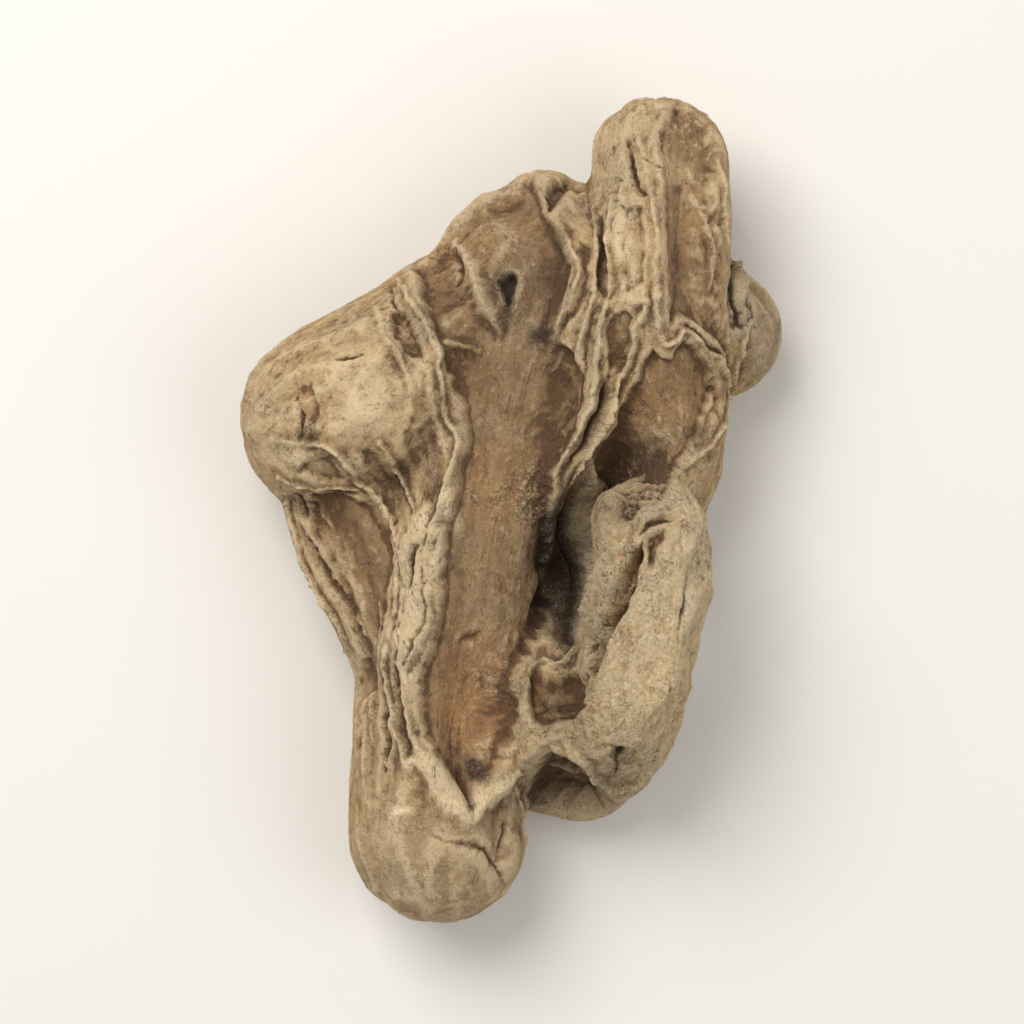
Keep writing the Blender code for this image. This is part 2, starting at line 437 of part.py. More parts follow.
# How far apart the points of a drawn line are, how far it acts in half widths, where it is dropped from,
# and how softly the lobes' own directions and wrinkles blend where they meet.
LINE_STEP = 0.25
LINE_REACH = 3.0
DRAPE_FROM = 90.0
AXIS_BLEND = 1.2
LOBE_BLEND = 1.5
WOBBLES = [(0.4, 2.1), (0.18, 0.8)]
SEED_SHIFT = Vector((31.7, 5.3, 12.9))
NOISE_SEED = 3

BARK_COLOUR = (0.42, 0.30, 0.19, 1.0)
BARK_ROUGHNESS = 0.86


def clear_scene():
    """Removes whatever the file held."""
    for old in list(bpy.data.objects):
        bpy.data.objects.remove(old, do_unlink=True)


def smooth_line(stations, step):
    """Stations every step along a smooth curve through the given ones."""
    given = np.array(stations, float)
    ends = np.vstack([2 * given[0] - given[1], given, 2 * given[-1] - given[-2]])
    found = []
    for a, b, c, d in zip(ends, ends[1:], ends[2:], ends[3:]):
        count = max(1, math.ceil(np.linalg.norm((c - b)[:2]) / step))
        for t in np.arange(count) / count:
            bend = (2 * a - 5 * b + 4 * c - d) * t**2 + (3 * b - a - 3 * c + d) * t**3
            found.append(0.5 * (2 * b + (c - a) * t + bend))
    found.append(given[-1])
    return np.array(found)


def unit_bead():
    """The corners and faces of a ball of radius 1."""
    ball = bmesh.new()
    bmesh.ops.create_uvsphere(ball, u_segments=BEAD_SIDES, v_segments=BEAD_RINGS, radius=1.0)
    corners = np.array([v.co[:] for v in ball.verts])
    faces = [[v.index for v in f.verts] for f in ball.faces]
    ball.free()
    return corners, faces


def beads_mesh():
    """Every lobe as a string of overlapping flattened beads, in drawing units."""
    corners, faces = unit_bead()
    all_corners, all_faces = [], []
    for stations in LOBES.values():
        for x, y, z, half_width, half_height in smooth_line(stations, BEAD_STEP):
            start = len(all_corners) * len(corners)
            all_faces += [[start + i for i in face] for face in faces]
            all_corners.append(corners * (half_width, half_width, half_height) + (x, y, z))
    mesh = bpy.data.meshes.new("beads")
    mesh.from_pydata(np.vstack(all_corners).tolist(), [], all_faces)
    return mesh


def with_modifiers(mesh, add):
    """The mesh after the modifiers that add puts on it."""
    body = bpy.data.objects.new("body", mesh)
    bpy.context.scene.collection.objects.link(body)
    add(body.modifiers)
    bpy.context.view_layer.update()
    made = bpy.data.meshes.new_from_object(body.evaluated_get(bpy.context.evaluated_depsgraph_get()))
    bpy.data.objects.remove(body, do_unlink=True)
    return made


def reskin(mesh, voxel, passes):
    """One closed skin round everything in the mesh, smoothed the given number of times."""

    def add(modifiers):
        skin = modifiers.new("skin", "REMESH")
        skin.mode = "VOXEL"
        skin.voxel_size = voxel
        blend = modifiers.new("blend", "SMOOTH")
        blend.factor = 0.5
        blend.iterations = passes

    return with_modifiers(mesh, add)


def thin_out(mesh, triangles):
    """The mesh collapsed to the number of triangles."""
    have = sum(len(p.vertices) - 2 for p in mesh.polygons)

    def add(modifiers):
        thin = modifiers.new("thin", "DECIMATE")
        thin.ratio = min(1.0, triangles / have)
        thin.use_collapse_triangulate = True

    return with_modifiers(mesh, add)


def mesh_points(mesh):
    """The mesh's vertices as an array."""
    points = np.empty(len(mesh.vertices) * 3)
    mesh.vertices.foreach_get("co", points)
    return points.reshape(-1, 3)


def mesh_normals(mesh):
    """The vertex normals as an array."""
    normals = np.empty(len(mesh.vertices) * 3)
    mesh.vertices.foreach_get("normal", normals)
    return normals.reshape(-1, 3)


def skin_tree(mesh):
    """The mesh as a surface that lines can be laid on."""
    return BVHTree.FromPolygons(mesh_points(mesh).tolist(), [p.vertices[:] for p in mesh.polygons])


def wobbled(points):
    """The points pushed about a little, so that what is measured from them has ragged edges."""
    pushed = points.copy()
    for amount, size in WOBBLES:
        pushed += amount * np.array([noise.noise_vector(Vector(p) / size + SEED_SHIFT) for p in points])
    return pushed


def drape(tree, stations, side):
    """A drawn line laid on the skin, from above for side 1 and from below for side -1."""
    laid = []
    for x, y, half_width, amount in smooth_line(stations, LINE_STEP):
        hit = tree.ray_cast(Vector((x, y, DRAPE_FROM * side)), Vector((0, 0, -side)))[0]
        if hit is not None:
            laid.append((*hit, half_width, amount))
    return np.array(laid)


def stroke(points, laid, fall):
    """How strongly one draped line acts at each point."""
    amount = np.zeros(len(points))
    if len(laid) < 2:
        return amount
    reach = LINE_REACH * laid[:, 3].max()
    line = laid[:, :3]
    near = ((points > line.min(0) - reach) & (points < line.max(0) + reach)).all(1)
    index = np.nonzero(near)[0]
    gaps = np.linalg.norm(points[index][:, None] - line[None], axis=2)
    nearest = gaps.argmin(1)
    gap = gaps[np.arange(len(index)), nearest] / laid[nearest, 3]
    amount[index] = laid[nearest, 4] * np.exp(-(gap**fall))
    return amount


def strokes(points, tree, lines, fall, side=1):
    """The strongest of several draped lines at each point."""
    strongest = np.zeros(len(points))
    for stations in lines:
        strongest = np.maximum(strongest, stroke(points, drape(tree, stations, side), fall))
    return strongest


def inside_gap(places, corners):
    """How far inside the outline each place is, and 0 outside it."""
    inside = np.zeros(len(places), bool)
    gap = np.full(len(places), np.inf)
    for start, end in zip(corners, np.roll(corners, -1, axis=0)):
        way = end - start
        off = places - start
        crosses = (off[:, 1] < 0) != (places[:, 1] < end[1])
        inside ^= crosses & (off[:, 0] * way[1] < off[:, 1] * way[0]) ^ (crosses & (way[1] < 0))
        share = np.clip(off @ way / (way @ way), 0, 1)
        gap = np.minimum(gap, np.linalg.norm(off - share[:, None] * way, axis=1))
    return np.where(inside, gap, 0.0)


def soft_step(share):
    """Rises smoothly from 0 to 1."""
    share = np.clip(share, 0, 1)
    return share * share * (3 - 2 * share)


def sunken(points, facing):
    """How deep the bark has sunk into the panels at each point, on the side that faces up only."""
    depth = np.zeros(len(points))
    for step, wall, bowl, outline in PANELS.values():
        corners = np.array(outline)
        near = ((points[:, :2] > corners.min(0)) & (points[:, :2] < corners.max(0))).all(1)
        index = np.nonzero(near & (facing > 0))[0]
        gap = inside_gap(points[index, :2], corners)
        sunk = step * soft_step(gap / wall) + bowl * soft_step(gap / BOWL_WIDTH)
        depth[index] = np.maximum(depth[index], sunk)
    return depth * soft_step(facing / FACES_UP)


def planed(points, facing):
    """How much the flat faces take off at each point, on the side that faces up only."""
    depth = np.zeros(len(points))
    for height, along_x, along_y, outline in FLATS.values():
        plane = height + along_x * points[:, 0] + along_y * points[:, 1]
        over = (points[:, 2] > plane) & (facing > 0)
        share = soft_step(inside_gap(points[over, :2], np.array(outline)) / FLAT_EDGE)
        depth[over] = np.maximum(depth[over], share * (points[over, 2] - plane[over]))
    return depth


def lobe_place(points, stations):
    """Each point off the lobe's middle line, how far along it, the lobe's direction there, and the gap."""
    middle = smooth_line(stations, BEAD_STEP)[:, :3]
    ways = np.gradient(middle, axis=0)
    ways /= np.linalg.norm(ways, axis=1)[:, None]
    gaps = np.linalg.norm(points[:, None] - middle[None], axis=2)
    pull = np.exp(-gaps / AXIS_BLEND)
    pull /= pull.sum(1)[:, None]
    way = pull @ ways
    way /= np.linalg.norm(way, axis=1)[:, None]
    off = points - pull @ middle
    along = (off * way).sum(1)
    run = along + pull @ (np.arange(len(middle)) * BEAD_STEP)
    return off - along[:, None] * way, run, way, gaps.min(1)


def wrinkles(points):
    """The wrinkles of every lobe blended where lobes meet, on top of slow swellings."""
    crests, gaps = [], []
    for stations in LOBES.values():
        off, run, way, gap = lobe_place(points, stations)
        place = off / WRINKLE_ACROSS + way * (run / WRINKLE_ALONG)[:, None]
        crests.append([1.0 - WRINKLE_SHARPNESS * abs(noise.noise(Vector(p) + SEED_SHIFT)) for p in place])
        gaps.append(gap)
    pull = np.exp(-np.array(gaps) / LOBE_BLEND)
    crest = (np.array(crests) * pull).sum(0) / pull.sum(0)
    swell = np.array([noise.noise(Vector(p) / SWELL_SIZE + SEED_SHIFT) for p in points])
    return WRINKLE_DEPTH * crest + SWELL_DEPTH * swell


def dried_rise(points, normals, tree):
    """How far drying moves each point of the plump skin out, or in where it is negative."""
    ragged = wobbled(points)
    hollow = strokes(points, tree, HOLLOWS, HOLLOW_FALL)
    sunk = sunken(ragged, normals[:, 2])
    uneven = 1 + FOLD_UNEVEN * np.array([noise.noise(Vector(p) / FOLD_UNEVEN_SIZE) for p in points])
    rise = wrinkles(points) * np.exp(-SUNK_SMOOTHING * (hollow + sunk))
    rise -= hollow + sunk + planed(points, normals[:, 2])
    rise += uneven * strokes(ragged, tree, FOLDS, FOLD_FALL)
    rise -= strokes(ragged, tree, GROOVES, GROOVE_FALL)
    rise -= strokes(points, tree, UNDER_HOLLOWS, HOLLOW_FALL, -1)
    rise += strokes(ragged, tree, UNDER_FOLDS, FOLD_FALL, -1)
    return rise


def dry_out(mesh):
    """Sinks the panels, hollows and grooves and raises the folds and wrinkles of the plump skin."""
    points = mesh_points(mesh)
    normals = mesh_normals(mesh)
    rise = dried_rise(points, normals, skin_tree(mesh))
    points += normals * rise[:, None]
    mesh.vertices.foreach_set("co", points.ravel())
    mesh.update()


def rest_flats(mesh):
    """Cuts the bellies off level where the root rests."""
    cut = bmesh.new()
    cut.from_mesh(mesh)
    whole = cut.verts[:] + cut.edges[:] + cut.faces[:]
    level = Vector((0, 0, REST_LEVEL))
    down = Vector((0, 0, -1))
    bmesh.ops.bisect_plane(cut, geom=whole, dist=1e-4, plane_co=level, plane_no=down, clear_outer=True)
    rims = [e for e in cut.edges if len(e.link_faces) == 1]
    bmesh.ops.holes_fill(cut, edges=rims, sides=0)
    bmesh.ops.triangulate(cut, faces=[f for f in cut.faces if len(f.verts) > 3])
    bmesh.ops.recalc_face_normals(cut, faces=cut.faces[:])
    cut.to_mesh(mesh)
    cut.free()


def bark_material():
    """Dry, dull tan bark."""
    bark = bpy.data.materials.new("dried_bark")
    bark.use_nodes = True
    shader = bark.node_tree.nodes["Principled BSDF"]
    shader.inputs["Base Color"].default_value = BARK_COLOUR
    shader.inputs["Roughness"].default_value = BARK_ROUGHNESS
    shader.inputs["Metallic"].default_value = 0.0
    bark.diffuse_color = BARK_COLOUR
    return bark


def ginger_root(collection):
    """The whole rhizome, in metres, with its origin under the middle of its box."""
    plump = reskin(beads_mesh(), SKIN_VOXEL, BLEND_PASSES)
    skin = reskin(plump, DRIED_VOXEL, SMOOTH_PASSES)
    dry_out(skin)
    mesh = thin_out(reskin(skin, DRIED_VOXEL, 1), TRIANGLE_BUDGET)
    rest_flats(mesh)
    points = mesh_points(mesh) - (*BOX_MIDDLE, REST_LEVEL)
    mesh.vertices.foreach_set("co", (points * SCALE).ravel())
    mesh.name = "ginger_root"
    mesh.materials.append(bark_material())
    mesh.update()
    root = bpy.data.objects.new("ginger_root", mesh)
    collection.objects.link(root)
    return root


def main():
    clear_scene()
    noise.seed_set(NOISE_SEED)
    collection = bpy.data.collections.new("dried_ginger_root")
    bpy.context.scene.collection.children.link(collection)
    ginger_root(collection)


main()
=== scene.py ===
"""The looks of a dried ginger root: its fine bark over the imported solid, with a floor, lights and a camera.

The root is drawn in millimetres, in the frame of the tables below, and put in place in metres.
"""

import math

import bmesh
import bpy
import numpy as np
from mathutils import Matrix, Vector, noise
from mathutils.bvhtree import BVHTree

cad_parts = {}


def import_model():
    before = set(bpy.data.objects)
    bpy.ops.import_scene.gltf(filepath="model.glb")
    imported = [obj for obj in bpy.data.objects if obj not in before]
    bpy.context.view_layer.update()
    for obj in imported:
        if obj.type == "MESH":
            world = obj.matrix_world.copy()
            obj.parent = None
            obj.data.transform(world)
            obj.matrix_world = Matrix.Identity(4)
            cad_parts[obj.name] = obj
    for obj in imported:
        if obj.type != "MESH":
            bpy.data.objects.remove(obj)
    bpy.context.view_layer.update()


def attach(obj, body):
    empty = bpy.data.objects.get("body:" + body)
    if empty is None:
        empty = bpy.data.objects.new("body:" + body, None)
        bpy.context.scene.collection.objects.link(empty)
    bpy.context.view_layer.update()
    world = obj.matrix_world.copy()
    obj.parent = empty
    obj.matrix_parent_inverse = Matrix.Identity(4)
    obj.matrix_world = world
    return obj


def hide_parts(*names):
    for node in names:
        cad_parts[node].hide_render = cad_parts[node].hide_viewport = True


MM = 0.001

# The root's place in its own frame: the middle of its box and the level that it rests on, in millimetres.
BOX_MIDDLE = (-0.372, 2.518)
REST_LEVEL = 0.0

# How finely the skin is made.
SKIN_VOXEL = 0.7
BARK_VOXEL = 0.26
BARK_PASSES = 4
BEAD_STEP = 1.6
BEAD_SIDES = 28
BEAD_RINGS = 18
BLEND_PASSES = 10
BARK_TRIANGLES = 192000

# How many points are measured against a line at a time, to spare memory.
MOST_AT_ONCE = 10000

# The camera: how much of the table the picture shows across and the level it is measured at, in metres,
# and the lens and its sensor, in millimetres.
PICTURE_WIDTH = 0.116
PICTURE_LEVEL = 0.02
LENS = 150.0
SENSOR_WIDTH = 36.0

# The lights: place, size, power and colour of each, the spot that they face, and the room round them.
LIGHTS = {
    "key": ((-0.24, 0.3, 0.52), 0.4, 3.7, (1.0, 0.97, 0.93)),
    "fill": ((0.45, -0.1, 0.55), 0.5, 1.3, (1.0, 0.99, 0.97)),
}
LIT_SPOT = (0.0, 0.0, 0.012)
ROOM_WHITE = (0.97, 0.97, 0.97, 1.0)
ROOM_STRENGTH = 0.47
TABLE_SIZE = 1.5

# Lobes. Each station is x, y and z of the lobe's middle, its half width and its half height.
LOBES = {
    "trunk": [
        (-9.0, -34.8, 10.1, 9.9, 10.4), (-9.2, -28.0, 10.8, 9.7, 10.2), (-8.3, -19.0, 11.4, 9.6, 10.2),
        (-6.8, -9.0, 11.6, 9.8, 10.4), (-5.2, 1.0, 11.8, 9.9, 10.6), (-2.8, 12.0, 12.0, 10.6, 10.8),
        (-0.8, 22.0, 12.2, 11.2, 10.6), (0.4, 30.0, 12.4, 9.6, 9.8),
    ],
    "side_lobe": [
        (-20.6, 13.0, 11.0, 10.6, 11.2), (-16.5, 15.8, 12.2, 10.8, 12.0), (-11.0, 19.5, 12.4, 9.6, 10.8),
        (-6.0, 24.0, 12.2, 9.0, 9.8),
    ],
    "side_web": [
        (-19.4, 7.0, 9.8, 7.6, 8.2), (-17.8, 1.0, 10.0, 7.8, 8.0), (-15.2, -6.0, 10.6, 6.8, 8.2),
        (-12.6, -13.0, 11.4, 6.0, 8.8),
    ],
    "top_finger": [
        (16.6, 42.2, 14.2, 7.6, 8.8), (16.4, 37.0, 14.8, 7.8, 10.2), (16.4, 30.0, 14.6, 7.7, 11.0),
        (16.3, 24.0, 13.6, 7.8, 11.0), (16.4, 17.0, 11.8, 7.5, 10.2), (17.0, 12.0, 11.4, 7.0, 9.4),
        (17.2, 7.4, 10.6, 6.2, 8.0), (16.6, 3.0, 9.0, 5.2, 6.2),
    ],
    "shoulder": [
        (3.5, 35.0, 12.4, 6.4, 8.6), (8.2, 28.0, 12.8, 7.4, 9.8), (8.6, 18.0, 12.4, 6.2, 10.0),
        (6.0, 8.0, 11.0, 4.8, 9.0), (4.6, 0.0, 8.8, 5.0, 6.0),
    ],
    "knob": [
        (20.5, 26.0, 8.0, 7.0, 8.0), (23.2, 23.6, 7.4, 7.2, 8.0),
    ],
    "stub_finger": [
        (1.5, -20.0, 10.4, 6.0, 8.6), (8.2, -23.4, 10.8, 7.6, 9.0), (12.0, -20.7, 15.2, 6.4, 9.0),
        (13.7, -14.5, 18.6, 6.2, 8.8), (15.1, -7.0, 20.2, 6.4, 7.8), (15.7, -1.0, 20.2, 6.2, 7.2),
        (15.0, 1.2, 19.8, 6.0, 6.6),
    ],
    "foot_of_stub": [
        (3.4, -26.4, 6.4, 5.6, 5.6), (8.4, -27.4, 7.0, 6.0, 6.2),
    ],
    "foot_of_gap": [
        (9.6, 8.6, 7.4, 4.8, 4.8), (6.6, 3.0, 6.4, 5.6, 4.8), (7.0, -5.0, 6.4, 5.4, 4.8),
        (6.4, -13.0, 7.8, 5.6, 6.4), (7.0, -18.0, 9.4, 5.6, 7.6),
    ],
}

# Panels where the bark sank between its folds, seen from above: how far the edge steps down, how wide
# that step is, how much deeper the middle is, and the outline.
PANELS = {
    "trough": (1.4, 0.8, 0.6, [
        (-8.1, 20.4), (-7.4, 18.0), (-7.2, 15.0), (-6.9, 12.6), (-6.2, 10.2), (-6.9, 7.0),
        (-7.2, 4.8), (-8.2, 2.2), (-8.9, 0.0), (-9.1, -3.0), (-9.0, -6.0), (-8.9, -9.2),
        (-9.4, -10.6), (-10.1, -13.0), (-11.1, -15.2), (-11.5, -18.0), (-11.2, -20.6),
        (-10.5, -22.8), (-9.4, -24.8), (-8.1, -26.6), (-6.7, -28.4), (-5.7, -30.2), (-5.0, -30.6),
        (-4.4, -29.8), (-2.6, -28.0), (-1.2, -26.8), (-0.5, -25.5), (-0.1, -23.5), (0.3, -21.0),
        (0.3, -18.0), (1.2, -15.6), (2.4, -13.6), (3.8, -11.5), (4.4, -8.0), (4.8, -3.0), (5.0, 1.0),
        (4.5, 4.5), (4.8, 7.0), (6.2, 10.0), (7.4, 12.6), (8.0, 15.0), (7.9, 18.0), (7.0, 20.2),
        (5.2, 21.8), (4.5, 23.6), (5.3, 26.0), (6.2, 28.4), (6.4, 30.6), (5.6, 32.8), (4.8, 34.8),
        (3.6, 36.6), (2.9, 39.0), (2.0, 42.5), (-6.0, 40.0), (-14.0, 34.0), (-11.6, 29.0),
        (-10.5, 25.6), (-9.2, 22.8),
    ]),
    "pit": (3.4, 1.5, 0.0, [
        (-3.5, 29.4), (-1.6, 30.6), (0.8, 31.0), (1.1, 28.6), (0.3, 26.0), (-0.7, 23.2), (-1.9, 25.4),
        (-2.9, 27.6),
    ]),
    "finger_valley": (1.0, 1.0, 1.0, [
        (15.6, 46.0), (16.2, 40.0), (16.5, 36.0), (16.7, 33.0), (16.6, 29.0), (16.7, 26.0),
        (16.9, 24.2), (17.3, 22.8), (18.4, 23.4), (19.8, 23.9), (21.2, 23.1), (22.4, 21.8),
        (23.5, 20.2), (24.3, 19.0), (24.6, 21.0), (24.1, 23.4), (23.7, 26.0), (23.9, 29.0),
        (23.7, 31.6), (23.1, 35.0), (22.9, 38.6), (23.4, 42.0), (22.4, 47.0), (18.4, 50.0),
    ]),
    "scale": (1.1, 0.6, 0.2, [
        (15.2, 21.0), (16.6, 20.0), (17.6, 19.9), (18.6, 21.4), (19.6, 21.9), (21.2, 20.8),
        (22.4, 19.0), (22.8, 16.5), (22.4, 13.8), (21.4, 11.4), (20.0, 8.8), (18.4, 6.4),
        (17.0, 4.0), (12.0, 4.5), (9.2, 6.0), (9.4, 8.6), (10.8, 11.6), (12.1, 14.8), (13.4, 17.8),
        (14.4, 20.0),
    ]),
    "strand_hollow_a": (0.5, 0.5, 0.0, [
        (10.6, 25.0), (12.4, 25.5), (13.4, 24.4), (12.9, 21.8), (12.0, 19.6), (10.8, 17.9), (10.2, 19.5),
        (10.1, 22.0),
    ]),
    "strand_hollow_b": (0.5, 0.5, 0.0, [
        (9.6, 26.2), (8.8, 23.8), (8.5, 21.0), (8.3, 18.0), (7.8, 15.4), (7.1, 16.0), (7.5, 19.0),
        (7.6, 22.0), (8.3, 24.8),
    ]),
    "strand_hollow_c": (0.6, 0.5, 0.0, [
        (6.9, 33.2), (8.7, 32.4), (8.6, 29.2), (8.3, 27.0), (6.9, 24.6), (5.6, 22.6), (5.1, 23.4),
        (6.3, 26.0), (7.7, 28.6),
    ]),
    "ochre_panel": (0.4, 0.8, 0.0, [
        (11.9, 37.4), (14.6, 37.0), (15.0, 33.0), (14.8, 28.0), (13.4, 26.9), (12.0, 27.4), (11.6, 31.0),
    ]),
    "web": (0.9, 0.6, 0.5, [
        (-23.4, 4.5), (-20.0, 4.7), (-16.8, 3.9), (-15.2, 2.2), (-14.0, 0.4), (-13.4, -2.0),
        (-13.9, -5.0), (-14.4, -8.0), (-14.8, -11.0), (-16.4, -13.0), (-17.8, -12.4), (-18.8, -9.6),
        (-20.0, -7.2), (-21.2, -4.8), (-22.4, -2.6), (-23.6, -0.6), (-24.4, 1.4),
    ]),
    "left_strip": (0.8, 0.6, 0.2, [
        (-15.0, -7.6), (-14.9, -11.0), (-15.6, -15.0), (-15.6, -18.0), (-17.0, -19.0),
        (-17.0, -24.0), (-18.0, -26.0), (-18.2, -20.0), (-17.9, -14.0), (-18.6, -10.6),
        (-18.2, -8.0),
    ]),
    "grey_hollow": (0.5, 0.9, 0.1, [
        (-24.2, 8.4), (-22.5, 9.3), (-20.8, 9.3), (-19.8, 7.6), (-18.6, 5.8), (-21.0, 5.7), (-23.0, 6.2),
        (-24.8, 6.8),
    ]),
    "side_hollow": (0.5, 0.9, 0.1, [
        (-18.2, 9.2), (-16.6, 10.0), (-15.0, 8.9), (-13.9, 7.0), (-13.0, 5.2), (-14.6, 4.4),
        (-15.9, 5.0), (-17.2, 6.6),
    ]),
    "inner_hollow": (0.4, 1.0, 0.3, [
        (-13.0, 11.6), (-12.6, 8.6), (-12.2, 6.2), (-10.8, 3.6), (-9.4, 3.2), (-8.3, 6.0),
        (-8.0, 9.0), (-8.5, 12.0), (-9.2, 15.0), (-9.6, 18.6), (-10.8, 18.8), (-11.4, 15.5),
    ]),
    "recess": (0.4, 0.6, 0.0, [
        (-24.2, 17.4), (-22.8, 17.2), (-21.8, 14.6), (-22.2, 12.2), (-24.1, 12.2), (-24.4, 14.8),
    ]),
    "gritty_valley": (0.8, 0.6, 0.1, [
        (-14.2, 25.0), (-12.2, 25.4), (-11.2, 23.2), (-10.4, 21.4), (-10.0, 19.8), (-11.6, 19.6),
        (-12.8, 20.6), (-13.8, 22.4),
    ]),
    "saddle": (1.4, 0.9, 1.4, [
        (1.4, -15.4), (3.0, -15.2), (5.0, -16.0), (6.4, -15.6), (7.8, -14.8), (8.4, -16.0),
        (8.1, -18.0), (8.5, -19.2), (7.5, -20.6), (7.0, -21.7), (5.0, -21.6), (3.2, -22.3),
        (1.7, -21.5), (1.2, -19.0), (1.2, -16.8),
    ]),
    "under_stub": (2.6, 1.2, 1.6, [
        (1.6, -26.6), (2.8, -25.0), (4.2, -24.4), (6.2, -25.2), (8.2, -27.0), (9.8, -29.0),
        (11.4, -30.2), (13.2, -29.8), (15.0, -28.2), (15.0, -33.0), (10.0, -36.0), (3.0, -35.0),
        (1.2, -31.0),
    ]),
    "stub_groove": (2.4, 0.4, 0.0, [
        (13.6, -1.2), (14.5, -2.0), (13.6, -3.4), (13.0, -6.0), (12.0, -8.4), (10.9, -10.8),
        (10.2, -12.8), (9.5, -15.0), (8.9, -17.8), (8.0, -17.4), (7.9, -15.0), (8.6, -12.8),
        (9.1, -10.8), (9.8, -8.4), (10.5, -6.0), (11.3, -3.6), (12.4, -2.4),
    ]),
    "tip_crater": (1.1, 0.6, 0.2, [
        (11.0, 4.7), (13.2, 5.0), (14.2, 3.6), (13.4, 1.7), (11.7, 1.2), (10.6, 2.6),
    ]),
    "tip_chip": (0.8, 0.5, 0.0, [(14.8, 6.2), (15.9, 6.8), (16.5, 5.1), (15.3, 3.9), (14.4, 4.5)]),
    "stub_notch": (1.0, 0.4, 0.0, [
        (14.4, -0.2), (16.9, 0.7), (16.8, -0.6), (16.0, -2.4), (15.2, -4.6), (14.9, -2.6),
    ]),
    "stub_pit": (1.0, 0.8, 0.2, [
        (10.2, -23.4), (12.0, -23.2), (12.6, -24.4), (12.0, -25.6), (11.9, -27.4), (11.0, -27.6),
        (10.9, -25.6),
    ]),
    "slit": (1.3, 0.5, 0.0, [
        (-15.5, -18.0), (-14.9, -17.8), (-14.3, -20.4), (-14.1, -23.4), (-14.5, -26.4), (-15.0, -23.4),
        (-15.5, -20.6),
    ]),
    "cleft": (1.2, 0.8, 0.0, [
        (3.4, 36.2), (4.8, 37.0), (6.2, 38.4), (7.4, 38.0), (7.9, 40.0), (6.8, 41.5), (4.4, 40.5),
        (3.0, 38.6),
    ]),
}

# Flat faces, seen from above: the height of the plane at x and y of 0, its rise along x and along y, and
# the outline that it is cut within.
FLATS = {
    "stub_face": (26.9, 0.03, 0.12, [
        (10.6, 0.0), (16.0, 2.4), (21.4, 0.6), (22.4, -4.0), (21.6, -11.0), (20.0, -18.0),
        (17.0, -24.0), (12.0, -26.0), (8.4, -23.0), (9.6, -17.0), (10.8, -10.0), (12.0, -4.0),
    ]),
}

# Broad hollows. Each is a line of stations: x and y seen from above, half width, depth.
HOLLOWS = [
    # The bowl of the trough
    [
        (0.0, 30.0, 4.0, 0.6), (-0.6, 22.0, 5.0, 1.3), (-1.0, 16.0, 6.2, 1.7), (-1.4, 9.0, 6.2, 1.9),
        (-2.4, 2.0, 6.0, 2.0), (-3.2, -5.0, 5.8, 2.0), (-3.9, -12.0, 5.6, 2.0), (-4.8, -18.0, 5.4, 2.4),
        (-5.0, -23.0, 4.2, 2.4), (-5.2, -27.0, 2.4, 1.8),
    ],
    # The dip of the side web, and of the left strip
    [(-21.0, 1.6, 3.2, 1.2), (-18.4, -2.0, 3.2, 1.4), (-17.0, -8.0, 2.0, 0.8), (-16.8, -16.0, 1.4, 0.4)],
    # Round the pit near the top
    [(-8.2, 28.0, 3.0, 0.6), (-4.0, 33.0, 3.0, 0.4)],
    # The valley and the lower end of the scale of the top finger
    [(19.6, 38.0, 2.8, 0.8), (19.8, 31.0, 3.0, 1.2), (20.2, 25.0, 2.6, 0.9)],
    [(16.0, 11.0, 5.0, 0.3), (14.6, 7.6, 5.0, 1.0)],
    [(24.5, 30.8, 0.6, 0.6), (24.1, 27.0, 0.6, 0.7), (25.0, 24.0, 0.6, 0.4)],
    # Between the trunk and the stub finger
    [
        (9.6, 9.4, 1.6, 0.8), (7.8, 5.6, 2.0, 1.9), (7.1, 1.0, 2.5, 4.2), (7.0, -5.0, 2.6, 4.8),
        (5.8, -10.4, 2.0, 3.4),
    ],
    # The broken tip of the stub finger
    [(11.0, 2.6, 1.8, 0.7), (13.6, 4.8, 2.4, 1.1), (17.0, 4.6, 1.8, 0.6)],
    # The right face of the foot
    [(-1.6, -31.5, 1.5, 0.6), (-1.6, -36.0, 1.6, 0.7)],
]

